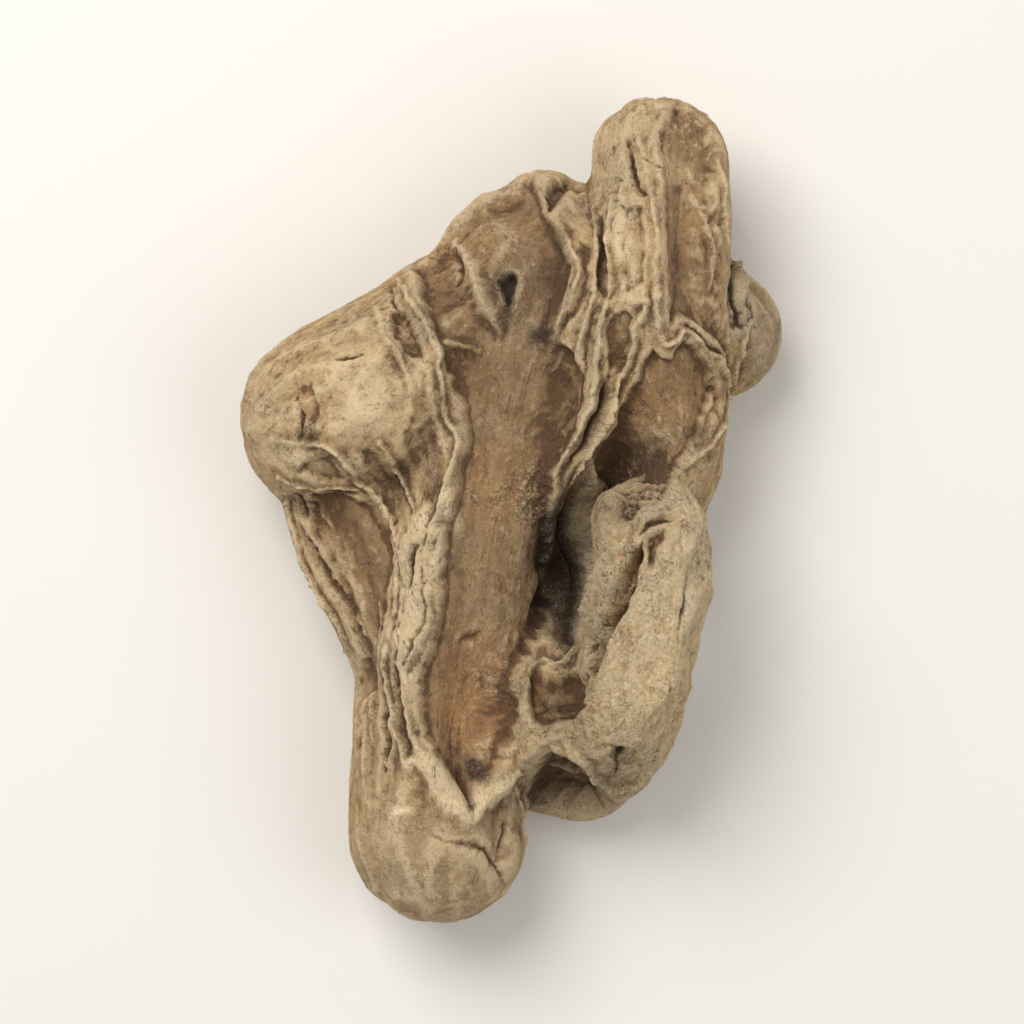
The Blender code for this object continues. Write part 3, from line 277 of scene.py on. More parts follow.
# Raised folds of bark. Each is a line of stations: x and y seen from above, half width, height.
FOLDS = [
    # The long pale fold at the left of the trough
    [
        (-14.4, 30.6, 0.43, 0.32), (-12.2, 27.2, 0.48, 0.51), (-11.0, 25.2, 0.48, 0.7),
        (-9.6, 22.4, 0.48, 0.77), (-8.6, 20.0, 0.48, 0.77), (-8.1, 16.6, 0.43, 0.77),
        (-7.8, 13.4, 0.43, 0.77), (-6.8, 10.3, 0.48, 0.83), (-7.7, 6.6, 0.55, 0.89),
        (-8.7, 2.8, 0.61, 0.89), (-9.8, -0.6, 0.61, 0.89), (-10.0, -4.6, 0.55, 0.89),
        (-9.8, -9.4, 0.55, 0.89), (-10.8, -12.4, 0.55, 0.83), (-12.1, -15.4, 0.48, 0.77),
        (-12.5, -19.0, 0.48, 0.77), (-11.6, -22.8, 0.55, 0.77), (-9.9, -26.0, 0.86, 0.82),
        (-8.0, -28.8, 1.4, 0.85), (-5.6, -31.6, 1.3, 0.72),
    ],
    # Its companion, and the band between them
    [
        (-12.6, 0.4, 0.48, 0.58), (-13.3, -5.0, 0.48, 0.7), (-13.7, -9.6, 0.48, 0.83),
        (-14.6, -14.4, 0.48, 0.77), (-14.2, -19.0, 0.43, 0.64), (-13.2, -23.4, 0.43, 0.51),
        (-12.0, -26.4, 0.48, 0.45),
    ],
    [
        (-10.2, 2.4, 1.4, 0.45), (-11.4, -2.0, 1.9, 0.77), (-11.7, -8.0, 1.9, 0.81),
        (-12.6, -13.0, 1.5, 0.63), (-12.9, -19.0, 0.86, 0.43),
    ],
    # Across the side lobe to the trunk
    [
        (-27.4, 10.6, 0.55, 0.32), (-24.0, 10.2, 0.55, 0.51), (-21.0, 10.0, 0.48, 0.64),
        (-19.2, 8.2, 0.48, 0.83), (-17.8, 6.0, 0.48, 0.89), (-15.8, 3.9, 0.55, 0.89),
        (-14.2, 1.6, 0.55, 0.83), (-12.8, -0.6, 0.48, 0.7),
    ],
    [
        (-15.4, 10.4, 0.43, 0.38), (-13.6, 7.6, 0.43, 0.64), (-12.4, 5.4, 0.43, 0.64),
        (-11.6, 3.2, 0.43, 0.64), (-11.0, 0.8, 0.43, 0.58),
    ],
    [(-26.8, 6.4, 0.48, 0.45), (-23.4, 5.4, 0.43, 0.58), (-20.6, 5.2, 0.37, 0.38), (-17.4, 4.8, 0.37, 0.32)],
    # The flange at the left edge
    [
        (-26.2, 4.6, 0.48, 0.58), (-25.4, 1.0, 0.48, 0.77), (-24.2, -2.4, 0.48, 0.83),
        (-22.6, -5.6, 0.48, 0.83), (-20.8, -8.6, 0.48, 0.7), (-19.4, -12.0, 0.43, 0.45),
        (-18.6, -16.0, 0.43, 0.32),
    ],
    [(-23.4, 3.6, 0.43, 0.38), (-22.6, 1.6, 0.43, 0.38), (-21.4, -0.6, 0.37, 0.26)],
    [
        (-15.9, -7.6, 0.36, 0.32), (-16.0, -12.0, 0.36, 0.45), (-16.1, -17.0, 0.37, 0.38),
        (-16.2, -20.0, 0.37, 0.45), (-16.2, -23.6, 0.37, 0.26),
    ],
    # Round the pit near the top
    [
        (-7.8, 33.6, 0.8, 0.8), (-6.4, 31.6, 0.9, 1.2), (-5.2, 29.2, 0.95, 1.5), (-3.9, 26.6, 0.95, 1.5),
        (-2.9, 24.6, 0.85, 1.1), (-2.2, 23.2, 0.6, 0.5),
    ],
    [(-9.2, 22.6, 0.47, 0.52), (-7.0, 21.8, 0.47, 0.6), (-4.8, 20.9, 0.39, 0.34)],
    [
        (-15.6, 25.6, 0.48, 0.38), (-14.6, 22.2, 0.48, 0.51), (-12.6, 19.2, 0.48, 0.51),
        (-11.6, 16.0, 0.43, 0.32),
    ],
    # The four strands between the trough and the top finger
    [
        (5.2, 34.8, 0.37, 0.45), (6.3, 32.4, 0.37, 0.64), (7.2, 29.6, 0.43, 0.7),
        (6.0, 26.4, 0.37, 0.64), (4.8, 23.6, 0.37, 0.58), (4.6, 21.0, 0.37, 0.32),
    ],
    [
        (9.0, 36.4, 0.37, 0.45), (9.1, 32.6, 0.37, 0.58), (9.1, 28.4, 0.37, 0.64),
        (8.2, 25.0, 0.37, 0.64), (7.2, 21.8, 0.37, 0.58), (6.9, 18.0, 0.37, 0.51),
        (6.6, 14.8, 0.37, 0.26),
    ],
    [
        (11.2, 38.0, 0.43, 0.45), (10.9, 33.0, 0.43, 0.58), (10.7, 27.8, 0.43, 0.64),
        (9.7, 24.4, 0.43, 0.77), (9.3, 20.6, 0.43, 0.83), (8.9, 16.8, 0.48, 0.89),
        (8.0, 13.4, 0.48, 0.89), (6.6, 10.4, 0.48, 0.83), (5.0, 7.4, 0.43, 0.64), (4.4, 4.0, 0.37, 0.38),
    ],
    [
        (14.6, 25.4, 0.48, 0.58), (13.7, 22.4, 0.48, 0.7), (12.5, 19.0, 0.48, 0.77),
        (11.1, 15.6, 0.48, 0.83), (9.9, 12.2, 0.48, 0.89), (8.5, 8.6, 0.48, 0.89),
        (7.0, 5.2, 0.48, 0.77), (5.6, 1.6, 0.43, 0.51), (4.4, -3.0, 0.37, 0.26),
    ],
    [(10.4, 26.0, 0.7, 0.26), (12.6, 26.4, 0.7, 0.34), (15.0, 25.9, 0.7, 0.34)],
    # The forked fold on the top finger and the rim of its scale
    [
        (13.8, 45.0, 0.55, 0.32), (15.0, 40.0, 0.45, 0.45), (15.7, 36.0, 0.42, 0.6),
        (15.9, 31.0, 0.42, 0.65), (15.9, 26.6, 0.44, 0.75), (16.3, 23.0, 0.48, 0.83),
        (17.1, 21.0, 0.48, 0.83), (18.4, 22.3, 0.43, 0.77), (19.5, 22.8, 0.43, 0.77),
        (21.4, 21.4, 0.43, 0.7), (23.0, 19.4, 0.43, 0.7), (23.7, 16.6, 0.43, 0.77),
        (23.6, 13.6, 0.43, 0.77), (22.6, 11.2, 0.43, 0.7), (21.0, 9.2, 0.43, 0.58),
        (19.4, 7.4, 0.43, 0.38),
    ],
    [(21.2, 38.6, 0.37, 0.32), (22.2, 35.4, 0.37, 0.51), (22.9, 31.6, 0.37, 0.58), (22.9, 27.6, 0.37, 0.38)],
    [(23.0, 42.4, 0.43, 0.4), (23.2, 38.8, 0.45, 0.6), (23.3, 35.2, 0.45, 0.7), (23.7, 32.8, 0.43, 0.6)],
    [(25.4, 31.0, 0.6, 0.9), (25.7, 29.0, 0.75, 1.3), (25.7, 27.0, 0.8, 1.4), (26.2, 25.0, 0.65, 0.9)],
    [(27.2, 24.2, 0.43, 0.32), (26.2, 21.6, 0.48, 0.51), (25.2, 19.0, 0.48, 0.58), (24.8, 17.4, 0.43, 0.32)],
    # From the foot of the trough round the foot of the stub finger
    [
        (-4.8, -31.8, 0.94, 0.6), (-2.2, -29.4, 1.3, 0.85), (0.0, -27.1, 0.86, 0.89),
        (1.8, -24.9, 0.7, 0.89), (3.8, -23.3, 0.55, 0.95), (5.8, -23.4, 0.55, 0.95),
        (7.6, -25.2, 0.55, 0.95), (9.4, -27.6, 0.48, 0.95), (11.2, -29.0, 0.43, 0.83),
        (13.2, -28.4, 0.43, 0.7), (15.0, -26.8, 0.43, 0.38),
    ],
    # The left edge of the stub finger and the saddle
    [
        (13.2, -1.4, 0.5, 0.6), (11.6, -1.8, 0.6, 0.9), (10.3, -3.6, 0.7, 1.1), (9.5, -6.0, 0.7, 1.2),
        (8.8, -8.4, 0.7, 1.2), (8.0, -10.8, 0.7, 1.2), (7.2, -12.6, 0.65, 1.1), (5.9, -14.4, 0.6, 1.0),
        (4.8, -15.0, 0.5, 0.9), (3.2, -14.6, 0.45, 0.7), (1.7, -16.2, 0.42, 0.7),
        (0.9, -19.0, 0.42, 0.6), (1.0, -22.4, 0.42, 0.6), (1.4, -24.6, 0.5, 0.5),
    ],
    [(9.0, -16.4, 0.43, 0.58), (8.6, -18.2, 0.43, 0.58), (8.2, -21.4, 0.48, 0.51), (8.8, -23.6, 0.48, 0.38)],
    [
        (13.2, -0.6, 0.43, 0.45), (14.8, 1.4, 0.48, 0.58), (17.0, 2.2, 0.48, 0.58),
        (19.4, 1.4, 0.48, 0.58), (21.2, -1.0, 0.48, 0.45),
    ],
    [(15.2, 6.4, 0.55, 0.32), (17.0, 6.4, 0.55, 0.38), (18.6, 4.8, 0.48, 0.32)],
    [(9.8, 3.0, 0.37, 0.38), (11.0, 4.9, 0.37, 0.38), (12.8, 5.9, 0.37, 0.26)],
    # The right rim of the foot
    [
        (-0.4, -28.0, 0.48, 0.32), (0.2, -31.0, 0.48, 0.51), (0.5, -34.0, 0.48, 0.51),
        (0.8, -37.0, 0.48, 0.32),
    ],
]

# Narrow grooves and cracks, drawn the same way.
GROOVES = [
    [
        (-24.6, 0.8, 0.6, 0.5), (-22.9, -2.6, 0.7, 1.0), (-21.2, -5.0, 0.7, 1.1),
        (-19.4, -8.2, 0.6, 0.9), (-17.7, -13.4, 0.5, 0.6),
    ],
    [(-10.7, -0.9, 0.4, 0.4), (-11.5, -3.0, 0.5, 0.9), (-11.6, -5.8, 0.4, 0.5)],
    [(-13.2, -13.4, 0.4, 0.5), (-13.4, -16.6, 0.5, 0.8), (-13.0, -20.6, 0.5, 0.8), (-12.0, -24.4, 0.5, 0.8)],
    [
        (10.7, 17.8, 0.4, 0.6), (9.9, 14.8, 0.55, 1.2), (8.9, 12.0, 0.6, 1.4), (7.6, 9.6, 0.6, 1.3),
        (6.2, 7.6, 0.55, 1.0), (5.2, 5.4, 0.5, 0.6),
    ],
    [(9.9, 35.4, 0.4, 0.7), (9.9, 31.0, 0.4, 0.8), (9.9, 27.6, 0.4, 0.7), (10.6, 26.8, 0.4, 0.4)],
    [(22.4, 18.6, 0.5, 0.5), (22.7, 15.6, 0.5, 0.8), (22.0, 12.8, 0.5, 0.8), (20.6, 9.8, 0.5, 0.6)],
    [(-6.4, -34.9, 0.3, 0.2), (-4.6, -35.3, 0.4, 0.4), (-2.8, -36.6, 0.4, 0.6), (-1.8, -38.8, 0.4, 0.4)],
    [(-5.4, -12.6, 0.5, 0.2), (-4.0, -11.9, 0.5, 0.4), (-2.6, -11.9, 0.5, 0.4), (-1.4, -11.5, 0.5, 0.2)],
    [(-4.9, -27.4, 0.7, 0.6), (-5.0, -29.2, 0.7, 1.0), (-5.2, -30.6, 0.6, 0.8)],
    [(12.8, 44.0, 0.4, 0.6), (13.2, 40.4, 0.4, 0.6), (14.4, 38.4, 0.4, 0.4)],
    [(9.6, -9.6, 0.5, 0.6), (8.6, -12.2, 0.5, 0.9), (8.2, -14.4, 0.5, 0.7)],
    [(-24.9, 4.0, 0.6, 0.8), (-24.3, 2.6, 0.6, 0.7)],
    [(-8.2, 32.8, 0.4, 0.6), (-7.1, 31.0, 0.4, 0.7), (-7.0, 29.8, 0.4, 0.4)],
]

# The side that it rests on, drawn the same way but laid on from below.
UNDER_HOLLOWS = [
    [(-5.0, -24.0, 3.0, 1.0), (-3.4, -10.0, 4.2, 2.0), (-2.0, 4.0, 4.4, 2.0), (2.0, 14.0, 3.2, 1.2)],
    [(10.4, 36.0, 2.2, 1.6), (9.4, 27.0, 2.8, 1.9), (7.6, 18.0, 2.4, 1.2)],
    [(-15.0, 26.0, 2.4, 1.2), (-10.6, 22.0, 2.6, 1.6), (-7.4, 16.0, 2.2, 1.0)],
    [(13.6, -14.0, 2.2, 1.2), (15.0, -5.0, 2.6, 1.4), (15.2, 0.0, 1.8, 0.8)],
]
UNDER_FOLDS = [
    [
        (-9.0, -41.0, 0.8, 0.5), (-10.4, -30.0, 0.9, 0.9), (-10.8, -18.0, 0.9, 1.1),
        (-9.4, -6.0, 0.9, 1.2), (-9.0, 8.0, 0.9, 0.7),
    ],
    [
        (-1.2, -34.0, 0.8, 0.5), (-0.6, -22.0, 0.9, 1.0), (1.8, -8.0, 0.9, 1.1), (4.2, 6.0, 0.9, 1.1),
        (6.4, 18.0, 0.9, 0.7),
    ],
    [(-24.0, 8.0, 0.8, 0.6), (-19.6, 2.0, 0.9, 1.0), (-15.4, -7.0, 0.9, 1.0), (-14.4, -16.0, 0.8, 0.6)],
    [(-26.0, 16.0, 0.8, 0.6), (-18.0, 20.0, 0.9, 0.9), (-9.0, 28.0, 0.9, 0.9), (-2.0, 36.0, 0.8, 0.6)],
    [(14.0, 46.0, 0.8, 0.6), (13.2, 36.0, 0.9, 1.0), (14.0, 26.0, 0.9, 1.0), (13.2, 16.0, 0.8, 0.7)],
    [(20.4, 44.0, 0.8, 0.5), (20.8, 34.0, 0.9, 0.9), (19.6, 30.0, 0.8, 0.7)],
    [(9.0, -28.0, 0.8, 0.6), (10.8, -18.0, 0.8, 0.9), (11.2, -8.0, 0.8, 0.8), (12.4, 2.0, 0.7, 0.5)],
]

# How sharply each kind of line falls off to its sides: 2 is a bell, more is flat-topped, less is pointed.
HOLLOW_FALL = 2.6
FOLD_FALL = 1.5
GROOVE_FALL = 1.6

# Lengthwise wrinkles over the whole skin, slow swellings, and how ragged the drawn edges are.
WRINKLE_DEPTH = 0.55
WRINKLE_ACROSS = 4.4
WRINKLE_ALONG = 15.0
SWELL_DEPTH = 0.6
SWELL_SIZE = 9.0
BOWL_WIDTH = 3.5
FOLD_UNEVEN = 0.6
FOLD_UNEVEN_SIZE = 3.0
FLAT_EDGE = 1.5
WRINKLE_SHARPNESS = 2.2
SUNK_SMOOTHING = 0.6
FACES_UP = 0.4

# How far apart the points of a drawn line are, how far it acts in half widths, where it is dropped from,
# and how softly the lobes' own directions and wrinkles blend where they meet.
LINE_STEP = 0.2
LINE_REACH = 3.0
DRAPE_FROM = 90.0
AXIS_BLEND = 1.2
LOBE_BLEND = 1.5
WOBBLES = [(0.4, 2.1), (0.18, 0.8)]
SEED_SHIFT = Vector((31.7, 5.3, 12.9))
NOISE_SEED = 3

# Hairline cracks in the bark. Each station is x and y seen from above, half width and depth.
CRACKS = [
    [(-10.8, -1.2, 0.2, 0.3), (-11.5, -3.0, 0.3, 0.8), (-11.7, -5.6, 0.2, 0.4)],
    [
        (-13.2, -13.4, 0.2, 0.4), (-13.3, -16.0, 0.3, 0.7), (-13.0, -19.0, 0.3, 0.8),
        (-12.3, -22.0, 0.3, 0.7), (-11.8, -24.6, 0.2, 0.4),
    ],
    [(-15.0, -18.4, 0.2, 0.4), (-14.5, -21.0, 0.3, 0.7), (-14.5, -23.6, 0.3, 0.7), (-14.6, -26.8, 0.2, 0.4)],
    [(-24.3, 10.8, 0.2, 0.4), (-24.2, 13.2, 0.3, 0.8), (-24.4, 15.6, 0.2, 0.4)],
    [(-20.2, 19.6, 0.2, 0.5), (-18.8, 20.2, 0.3, 0.6), (-17.4, 20.5, 0.2, 0.4)],
    [
        (-23.8, -0.6, 0.3, 0.5), (-22.4, -3.2, 0.3, 0.8), (-20.9, -5.8, 0.3, 0.8),
        (-19.2, -8.6, 0.3, 0.6), (-18.0, -12.4, 0.2, 0.4),
    ],
    [(-14.0, 28.4, 0.2, 0.5), (-13.8, 26.2, 0.3, 0.6), (-13.2, 24.8, 0.2, 0.4)],
    [(-8.2, 32.6, 0.2, 0.5), (-7.0, 31.0, 0.3, 0.6), (-7.0, 29.6, 0.2, 0.4)],
    [
        (10.4, 17.2, 0.3, 0.5), (9.9, 14.8, 0.35, 0.9), (8.8, 12.0, 0.35, 0.9), (8.2, 10.0, 0.3, 0.8),
        (6.6, 8.0, 0.25, 0.6),
    ],
    [(9.8, 35.2, 0.2, 0.5), (9.7, 32.0, 0.3, 0.7), (9.5, 29.2, 0.3, 0.7), (10.0, 27.0, 0.2, 0.4)],
    [(19.8, 23.4, 0.2, 0.4), (21.5, 22.0, 0.3, 0.7), (23.0, 20.5, 0.3, 0.7), (24.0, 19.0, 0.2, 0.4)],
    [(24.8, 31.4, 0.2, 0.5), (24.6, 27.4, 0.3, 0.8), (25.6, 24.4, 0.25, 0.6), (26.2, 23.2, 0.2, 0.3)],
    [(12.7, 43.8, 0.2, 0.5), (13.0, 41.2, 0.3, 0.6), (13.5, 39.4, 0.3, 0.5), (14.6, 38.3, 0.2, 0.4)],
    [(14.3, 42.4, 0.2, 0.4), (16.2, 41.4, 0.2, 0.4)],
    [(13.8, 0.0, 0.25, 0.4), (15.0, 0.9, 0.35, 0.8), (16.6, 1.3, 0.3, 0.7), (18.0, 1.1, 0.2, 0.4)],
    [(14.2, -1.0, 0.3, 0.5), (13.0, -3.2, 0.35, 0.8), (11.6, -6.0, 0.35, 0.8), (10.0, -9.2, 0.3, 0.6)],
    [(15.6, -0.6, 0.2, 0.4), (15.1, -2.6, 0.3, 0.6), (15.0, -4.4, 0.2, 0.3)],
    [(9.4, -10.2, 0.25, 0.4), (8.6, -12.2, 0.3, 0.6), (8.0, -13.8, 0.2, 0.4)],
    [
        (-11.0, -33.3, 0.12, 0.1), (-9.0, -34.2, 0.15, 0.2), (-6.8, -34.7, 0.15, 0.2),
        (-4.8, -35.4, 0.15, 0.3),
    ],
    [(-4.8, -35.4, 0.15, 0.3), (-2.8, -36.5, 0.15, 0.4), (-1.8, -38.8, 0.15, 0.3), (-1.5, -41.2, 0.12, 0.2)],
    [(-1.0, -32.8, 0.2, 0.4), (-1.3, -35.0, 0.25, 0.5), (-1.9, -37.2, 0.2, 0.3)],
    [(-23.4, 5.0, 0.2, 0.4), (-20.6, 4.6, 0.25, 0.6), (-17.8, 4.5, 0.2, 0.4)],
    [(17.2, -16.0, 0.2, 0.3), (16.6, -19.4, 0.25, 0.5), (15.4, -22.6, 0.2, 0.3)],
    [(19.2, -3.4, 0.2, 0.3), (18.8, -8.0, 0.25, 0.5), (18.2, -12.2, 0.2, 0.3)],
]

# Where the bark differs, seen from above: x, y, half width, half length and strength of each patch.
PATCHES = {
    "warm": [
        (-4.2, -19.5, 5.0, 8.0, 0.95), (-4.4, -15.6, 5.4, 2.6, 0.5), (-2.6, 5.0, 5.5, 5.5, 0.45),
        (-7.0, 33.5, 6.0, 3.0, 0.5), (3.0, 36.0, 3.5, 4.0, 0.4), (17.5, 30.5, 3.2, 8.0, 0.35),
        (16.5, 15.5, 4.5, 4.0, 0.3), (-23.6, 14.6, 1.9, 2.8, 0.6), (-13.0, 23.0, 1.6, 3.0, 0.6),
        (-1.8, -33.5, 2.0, 3.5, 0.4), (12.2, -5.5, 1.8, 3.5, 1.0), (10.4, -10.5, 1.5, 4.5, 1.0),
        (15.9, -0.8, 1.0, 1.4, 0.8), (4.5, -17.5, 3.0, 3.0, 0.3), (20.5, 35.0, 2.5, 5.0, 0.3),
    ],
    "grey": [
        (-8.5, -35.5, 10.0, 9.0, 0.9), (-16.8, -20.0, 2.4, 12.0, 0.7), (-22.0, 7.6, 3.0, 2.0, 0.7),
        (5.2, 37.5, 2.4, 3.2, 0.6), (1.6, 26.0, 5.0, 7.0, 0.6), (28.4, 22.5, 3.2, 5.0, 0.5),
        (13.6, 4.6, 4.6, 2.8, 0.7), (-14.8, -12.0, 1.4, 5.0, 0.35), (13.0, 9.8, 4.0, 2.0, 0.5),
        (-9.0, 12.0, 1.6, 6.0, 0.3),
    ],
    "pale": [
        (-16.5, 15.5, 5.0, 6.0, 0.75), (-28.0, 12.0, 4.0, 9.0, 0.8), (-11.6, -5.0, 2.0, 8.0, 0.6),
        (13.4, 31.0, 2.2, 6.0, 0.9), (26.0, 27.3, 1.4, 3.4, 1.0), (9.2, -3.5, 1.3, 4.0, 1.0),
        (8.0, -9.0, 1.2, 4.5, 1.0), (14.5, 42.0, 7.0, 5.0, 0.6), (16.6, -11.0, 3.6, 12.0, 0.75),
        (12.6, -21.0, 4.0, 5.0, 0.7), (-13.5, -31.5, 2.5, 2.5, 0.3), (19.0, 30.0, 2.8, 8.0, 0.4),
        (-10.4, 11.0, 1.8, 5.0, 0.7),
    ],
    # Dark stains, and painted shade in the gap beside the trunk, under the stub finger and in the pit near
    # the top
    "dark": [
        (0.6, 30.6, 6.5, 8.0, 0.34), (-9.0, 27.0, 4.0, 5.0, 0.2), (-0.6, 14.0, 6.5, 6.5, 0.16),
        (-1.5, -5.0, 5.0, 6.5, 0.16), (3.4, 22.6, 1.3, 1.3, 1.0), (5.2, 33.0, 0.9, 1.8, 0.7),
        (4.6, 38.5, 1.2, 1.4, 0.6), (-1.4, 29.0, 2.0, 1.7, 1.1), (-1.0, 26.6, 1.2, 3.0, 1.1),
        (28.6, 22.4, 3.6, 5.6, 0.4), (-3.1, -27.1, 0.9, 1.3, 1.3), (6.2, -4.5, 2.4, 7.5, 2.0),
        (12.9, -3.9, 0.6, 2.4, 0.2), (11.6, -8.0, 0.5, 2.6, 0.3), (9.9, -12.4, 0.5, 2.6, 0.4),
        (8.5, -17.0, 0.6, 2.0, 0.5), (11.6, 3.0, 1.6, 2.2, 0.35), (9.5, -31.8, 6.0, 2.4, 0.5),
        (12.6, -25.2, 1.0, 1.1, 0.5), (9.6, 3.6, 1.6, 3.0, 0.5), (5.0, -10.4, 1.8, 1.8, 0.8),
        (6.6, 3.6, 1.8, 3.4, 0.7), (14.0, 8.6, 4.4, 1.6, 0.4), (5.6, -19.0, 2.4, 3.0, 0.55),
        (7.0, -28.6, 6.0, 2.8, 0.6), (5.0, -32.0, 6.0, 3.0, 0.55), (-12.6, 6.5, 0.8, 2.0, 0.4),
        (-9.4, 5.2, 0.8, 3.0, 0.3), (11.5, -24.6, 1.0, 1.2, 0.8), (-23.6, 10.9, 1.2, 0.9, 0.6),
        (20.6, 10.8, 2.0, 1.6, 0.4), (24.4, 27.6, 0.4, 3.0, 0.6), (-24.4, 3.2, 0.9, 0.9, 0.6),
    ],
    # Chips and rims of chalky pale bark
    "chalk": [
        (9.4, -3.2, 1.1, 4.0, 1.0), (8.2, -8.6, 1.0, 4.0, 1.0), (6.8, -12.6, 1.2, 2.0, 0.6),
        (15.2, -8.0, 2.6, 6.0, 0.7), (20.2, -6.0, 1.9, 8.0, 0.8), (17.6, 2.4, 2.2, 1.4, 0.8),
        (15.0, 2.6, 1.6, 0.9, 0.7), (12.2, -17.5, 2.0, 3.4, 0.5), (-12.8, -30.8, 0.6, 0.5, 1.4),
        (-11.5, -26.3, 0.5, 0.9, 1.0), (-7.6, 3.4, 0.9, 2.8, 0.9), (-9.8, -3.0, 0.8, 5.5, 0.7),
        (-11.8, -13.6, 0.9, 4.0, 0.5), (25.8, 27.3, 1.3, 3.8, 1.6), (-16.0, 14.0, 2.2, 3.0, 0.3),
        (-25.6, 8.6, 2.6, 1.0, 0.5), (12.4, 34.0, 0.7, 7.0, 0.6),
    ],
    # Crumbly bark
    "crumb": [
        (3.4, 3.6, 1.5, 3.2, 1.0), (-4.0, 4.6, 1.0, 0.8, 0.7), (0.6, 4.6, 2.6, 0.8, 0.4),
        (25.9, 27.4, 1.2, 3.6, 1.2), (9.6, -4.0, 1.6, 5.0, 0.8), (14.0, 4.6, 4.4, 2.6, 0.8),
        (11.4, -23.6, 4.4, 4.0, 0.8), (-24.4, 3.6, 1.4, 1.6, 0.8), (-12.4, 22.6, 1.8, 2.6, 0.6),
        (-23.4, 11.4, 1.4, 1.2, 0.7), (0.0, -17.0, 1.2, 3.0, 0.7), (12.5, 39.5, 2.5, 4.0, 0.4),
    ],
    # Bark with few wrinkles
    "smooth": [
        (-8.5, -35.5, 11.0, 9.5, 0.9), (-17.5, 15.5, 8.0, 7.5, 0.8), (-3.0, 0.0, 6.5, 24.0, 0.8),
        (-17.0, -19.0, 2.4, 12.0, 0.6), (0.0, 32.0, 8.0, 8.0, 0.85), (-8.5, 28.0, 5.0, 5.0, 0.7),
        (19.4, 33.0, 4.6, 11.0, 0.9), (17.5, 14.5, 5.5, 7.0, 0.6), (27.0, 24.0, 5.0, 6.0, 0.7),
        (-19.0, -1.0, 4.5, 7.5, 0.7), (13.3, 31.0, 2.6, 7.5, 0.7), (22.4, 35.0, 2.8, 9.0, 1.0),
        (23.0, 14.0, 2.5, 6.0, 0.5),
    ],
}

# How strong each form is where its mask is full.
FULL = {"crest": 0.75, "furrow": 0.45, "hollow": 2.6, "sunk": 1.2, "groove": 1.0, "crack": 0.5}

# How sharply the hairline cracks and the patches fall off to their sides.
CRACK_FALL = 2.0
PATCH_FALL = 0.8

# How softly the lobes blend where they meet, and the least share of a lobe that still wrinkles the bark.
WEIGHT_BLEND = 1.2
LEAST_SHARE = 0.02

# Smooth noise: how many arrows it has, the numbers that pick one for each place, and how far it spreads.
SPECKLE_ARROWS = 256
SPECKLE_PRIMES = (73856093, 19349663, 83492791)
SPECKLE_SPREAD = 1.7

# How far the edges of the patches are pushed about, over what distance, and the seeds of each direction.
CLOUD_PUSH = 1.6
CLOUD_SIZE = 4.0
CLOUD_SEEDS = (20, 21, 22)

# Fine wrinkles of the bark: spacing across, spacing along, depth and seed of each size.
FINE_WRINKLES = [(1.7, 8.0, 0.13, 40), (0.8, 3.6, 0.08, 41), (0.5, 1.6, 0.04, 42)]
WRINKLE_TOP = 0.6

# Grain of the bark, as layers of smooth noise: size, share and seed of each layer.
LUMPS = [(1.1, 0.6, 50), (0.55, 1.0, 53)]
CRUMBS = [(0.75, 1.0, 51), (0.55 * 0.75, 0.6, 52)]
CORK_FLAKES = [(1.7, 1.0, 60), (0.765, 0.5, 61)]
FURROW_BREAKS = [(2.6, 1.1, 70)]

# How deep the grain is, on plain bark, on crests, in crumbs and on cork.
BARK_ROUGH = 0.06
CREST_SHARE = 0.2
CREST_ROUGH = 0.08
CRUMB_DEPTH = 0.28
CORK_DEPTH = 0.26
CORK_ROUGH = 0.05

# The slant of the cork's flakes, and how many steps they have in a unit of their noise.
CORK_SLANT = [(0.92, 0.14, 0.0), (-0.36, 0.36, 0.0), (0.0, 0.0, 1.0)]
CORK_STEPS = 2.6

# Points that stick out of the bark round them are drawn in. Each size has how many neighbours away the
# bark round them reaches and how far a point may stand from it.
CALM_SIZES = [(1, 0.2), (5, 0.6)]
CALM_PASSES = 5

# How proud or sunk the bark is, fine and broad: how many neighbours away it is measured from, and its unit.
RELIEFS = {"fine_relief": (5, 0.5), "broad_relief": (40, 2.2)}

# How much the streaks of the bark are drawn out along the lobes.
RUN_STRETCH = 0.22

# The folds of the solid are finished thinner, with a broken furrow along their feet.
THIN_FOLD = 0.7
PINCHED = 0.62
FURROW_REACH = 1.9
FURROW_FALL = 2.0
FURROW_DEPTH = 0.3


def smooth_line(stations, step):
    """Stations every step along a smooth curve through the given ones."""
    given = np.array(stations, float)
    ends = np.vstack([2 * given[0] - given[1], given, 2 * given[-1] - given[-2]])
    found = []
    for a, b, c, d in zip(ends, ends[1:], ends[2:], ends[3:]):
        count = max(1, math.ceil(np.linalg.norm((c - b)[:2]) / step))
        for t in np.arange(count) / count:
            bend = (2 * a - 5 * b + 4 * c - d) * t**2 + (3 * b - a - 3 * c + d) * t**3
            found.append(0.5 * (2 * b + (c - a) * t + bend))
    found.append(given[-1])
    return np.array(found)


def unit_bead():
    """The corners and faces of a ball of radius 1."""
    ball = bmesh.new()
    bmesh.ops.create_uvsphere(ball, u_segments=BEAD_SIDES, v_segments=BEAD_RINGS, radius=1.0)
    corners = np.array([v.co[:] for v in ball.verts])
    faces = [[v.index for v in f.verts] for f in ball.faces]
    ball.free()
    return corners, faces


def beads_mesh():
    """Every lobe as a string of overlapping flattened beads, in drawing units."""
    corners, faces = unit_bead()
    all_corners, all_faces = [], []
    for stations in LOBES.values():
        for x, y, z, half_width, half_height in smooth_line(stations, BEAD_STEP):
            start = len(all_corners) * len(corners)
            all_faces += [[start + i for i in face] for face in faces]
            all_corners.append(corners * (half_width, half_width, half_height) + (x, y, z))
    mesh = bpy.data.meshes.new("beads")
    mesh.from_pydata(np.vstack(all_corners).tolist(), [], all_faces)
    return mesh


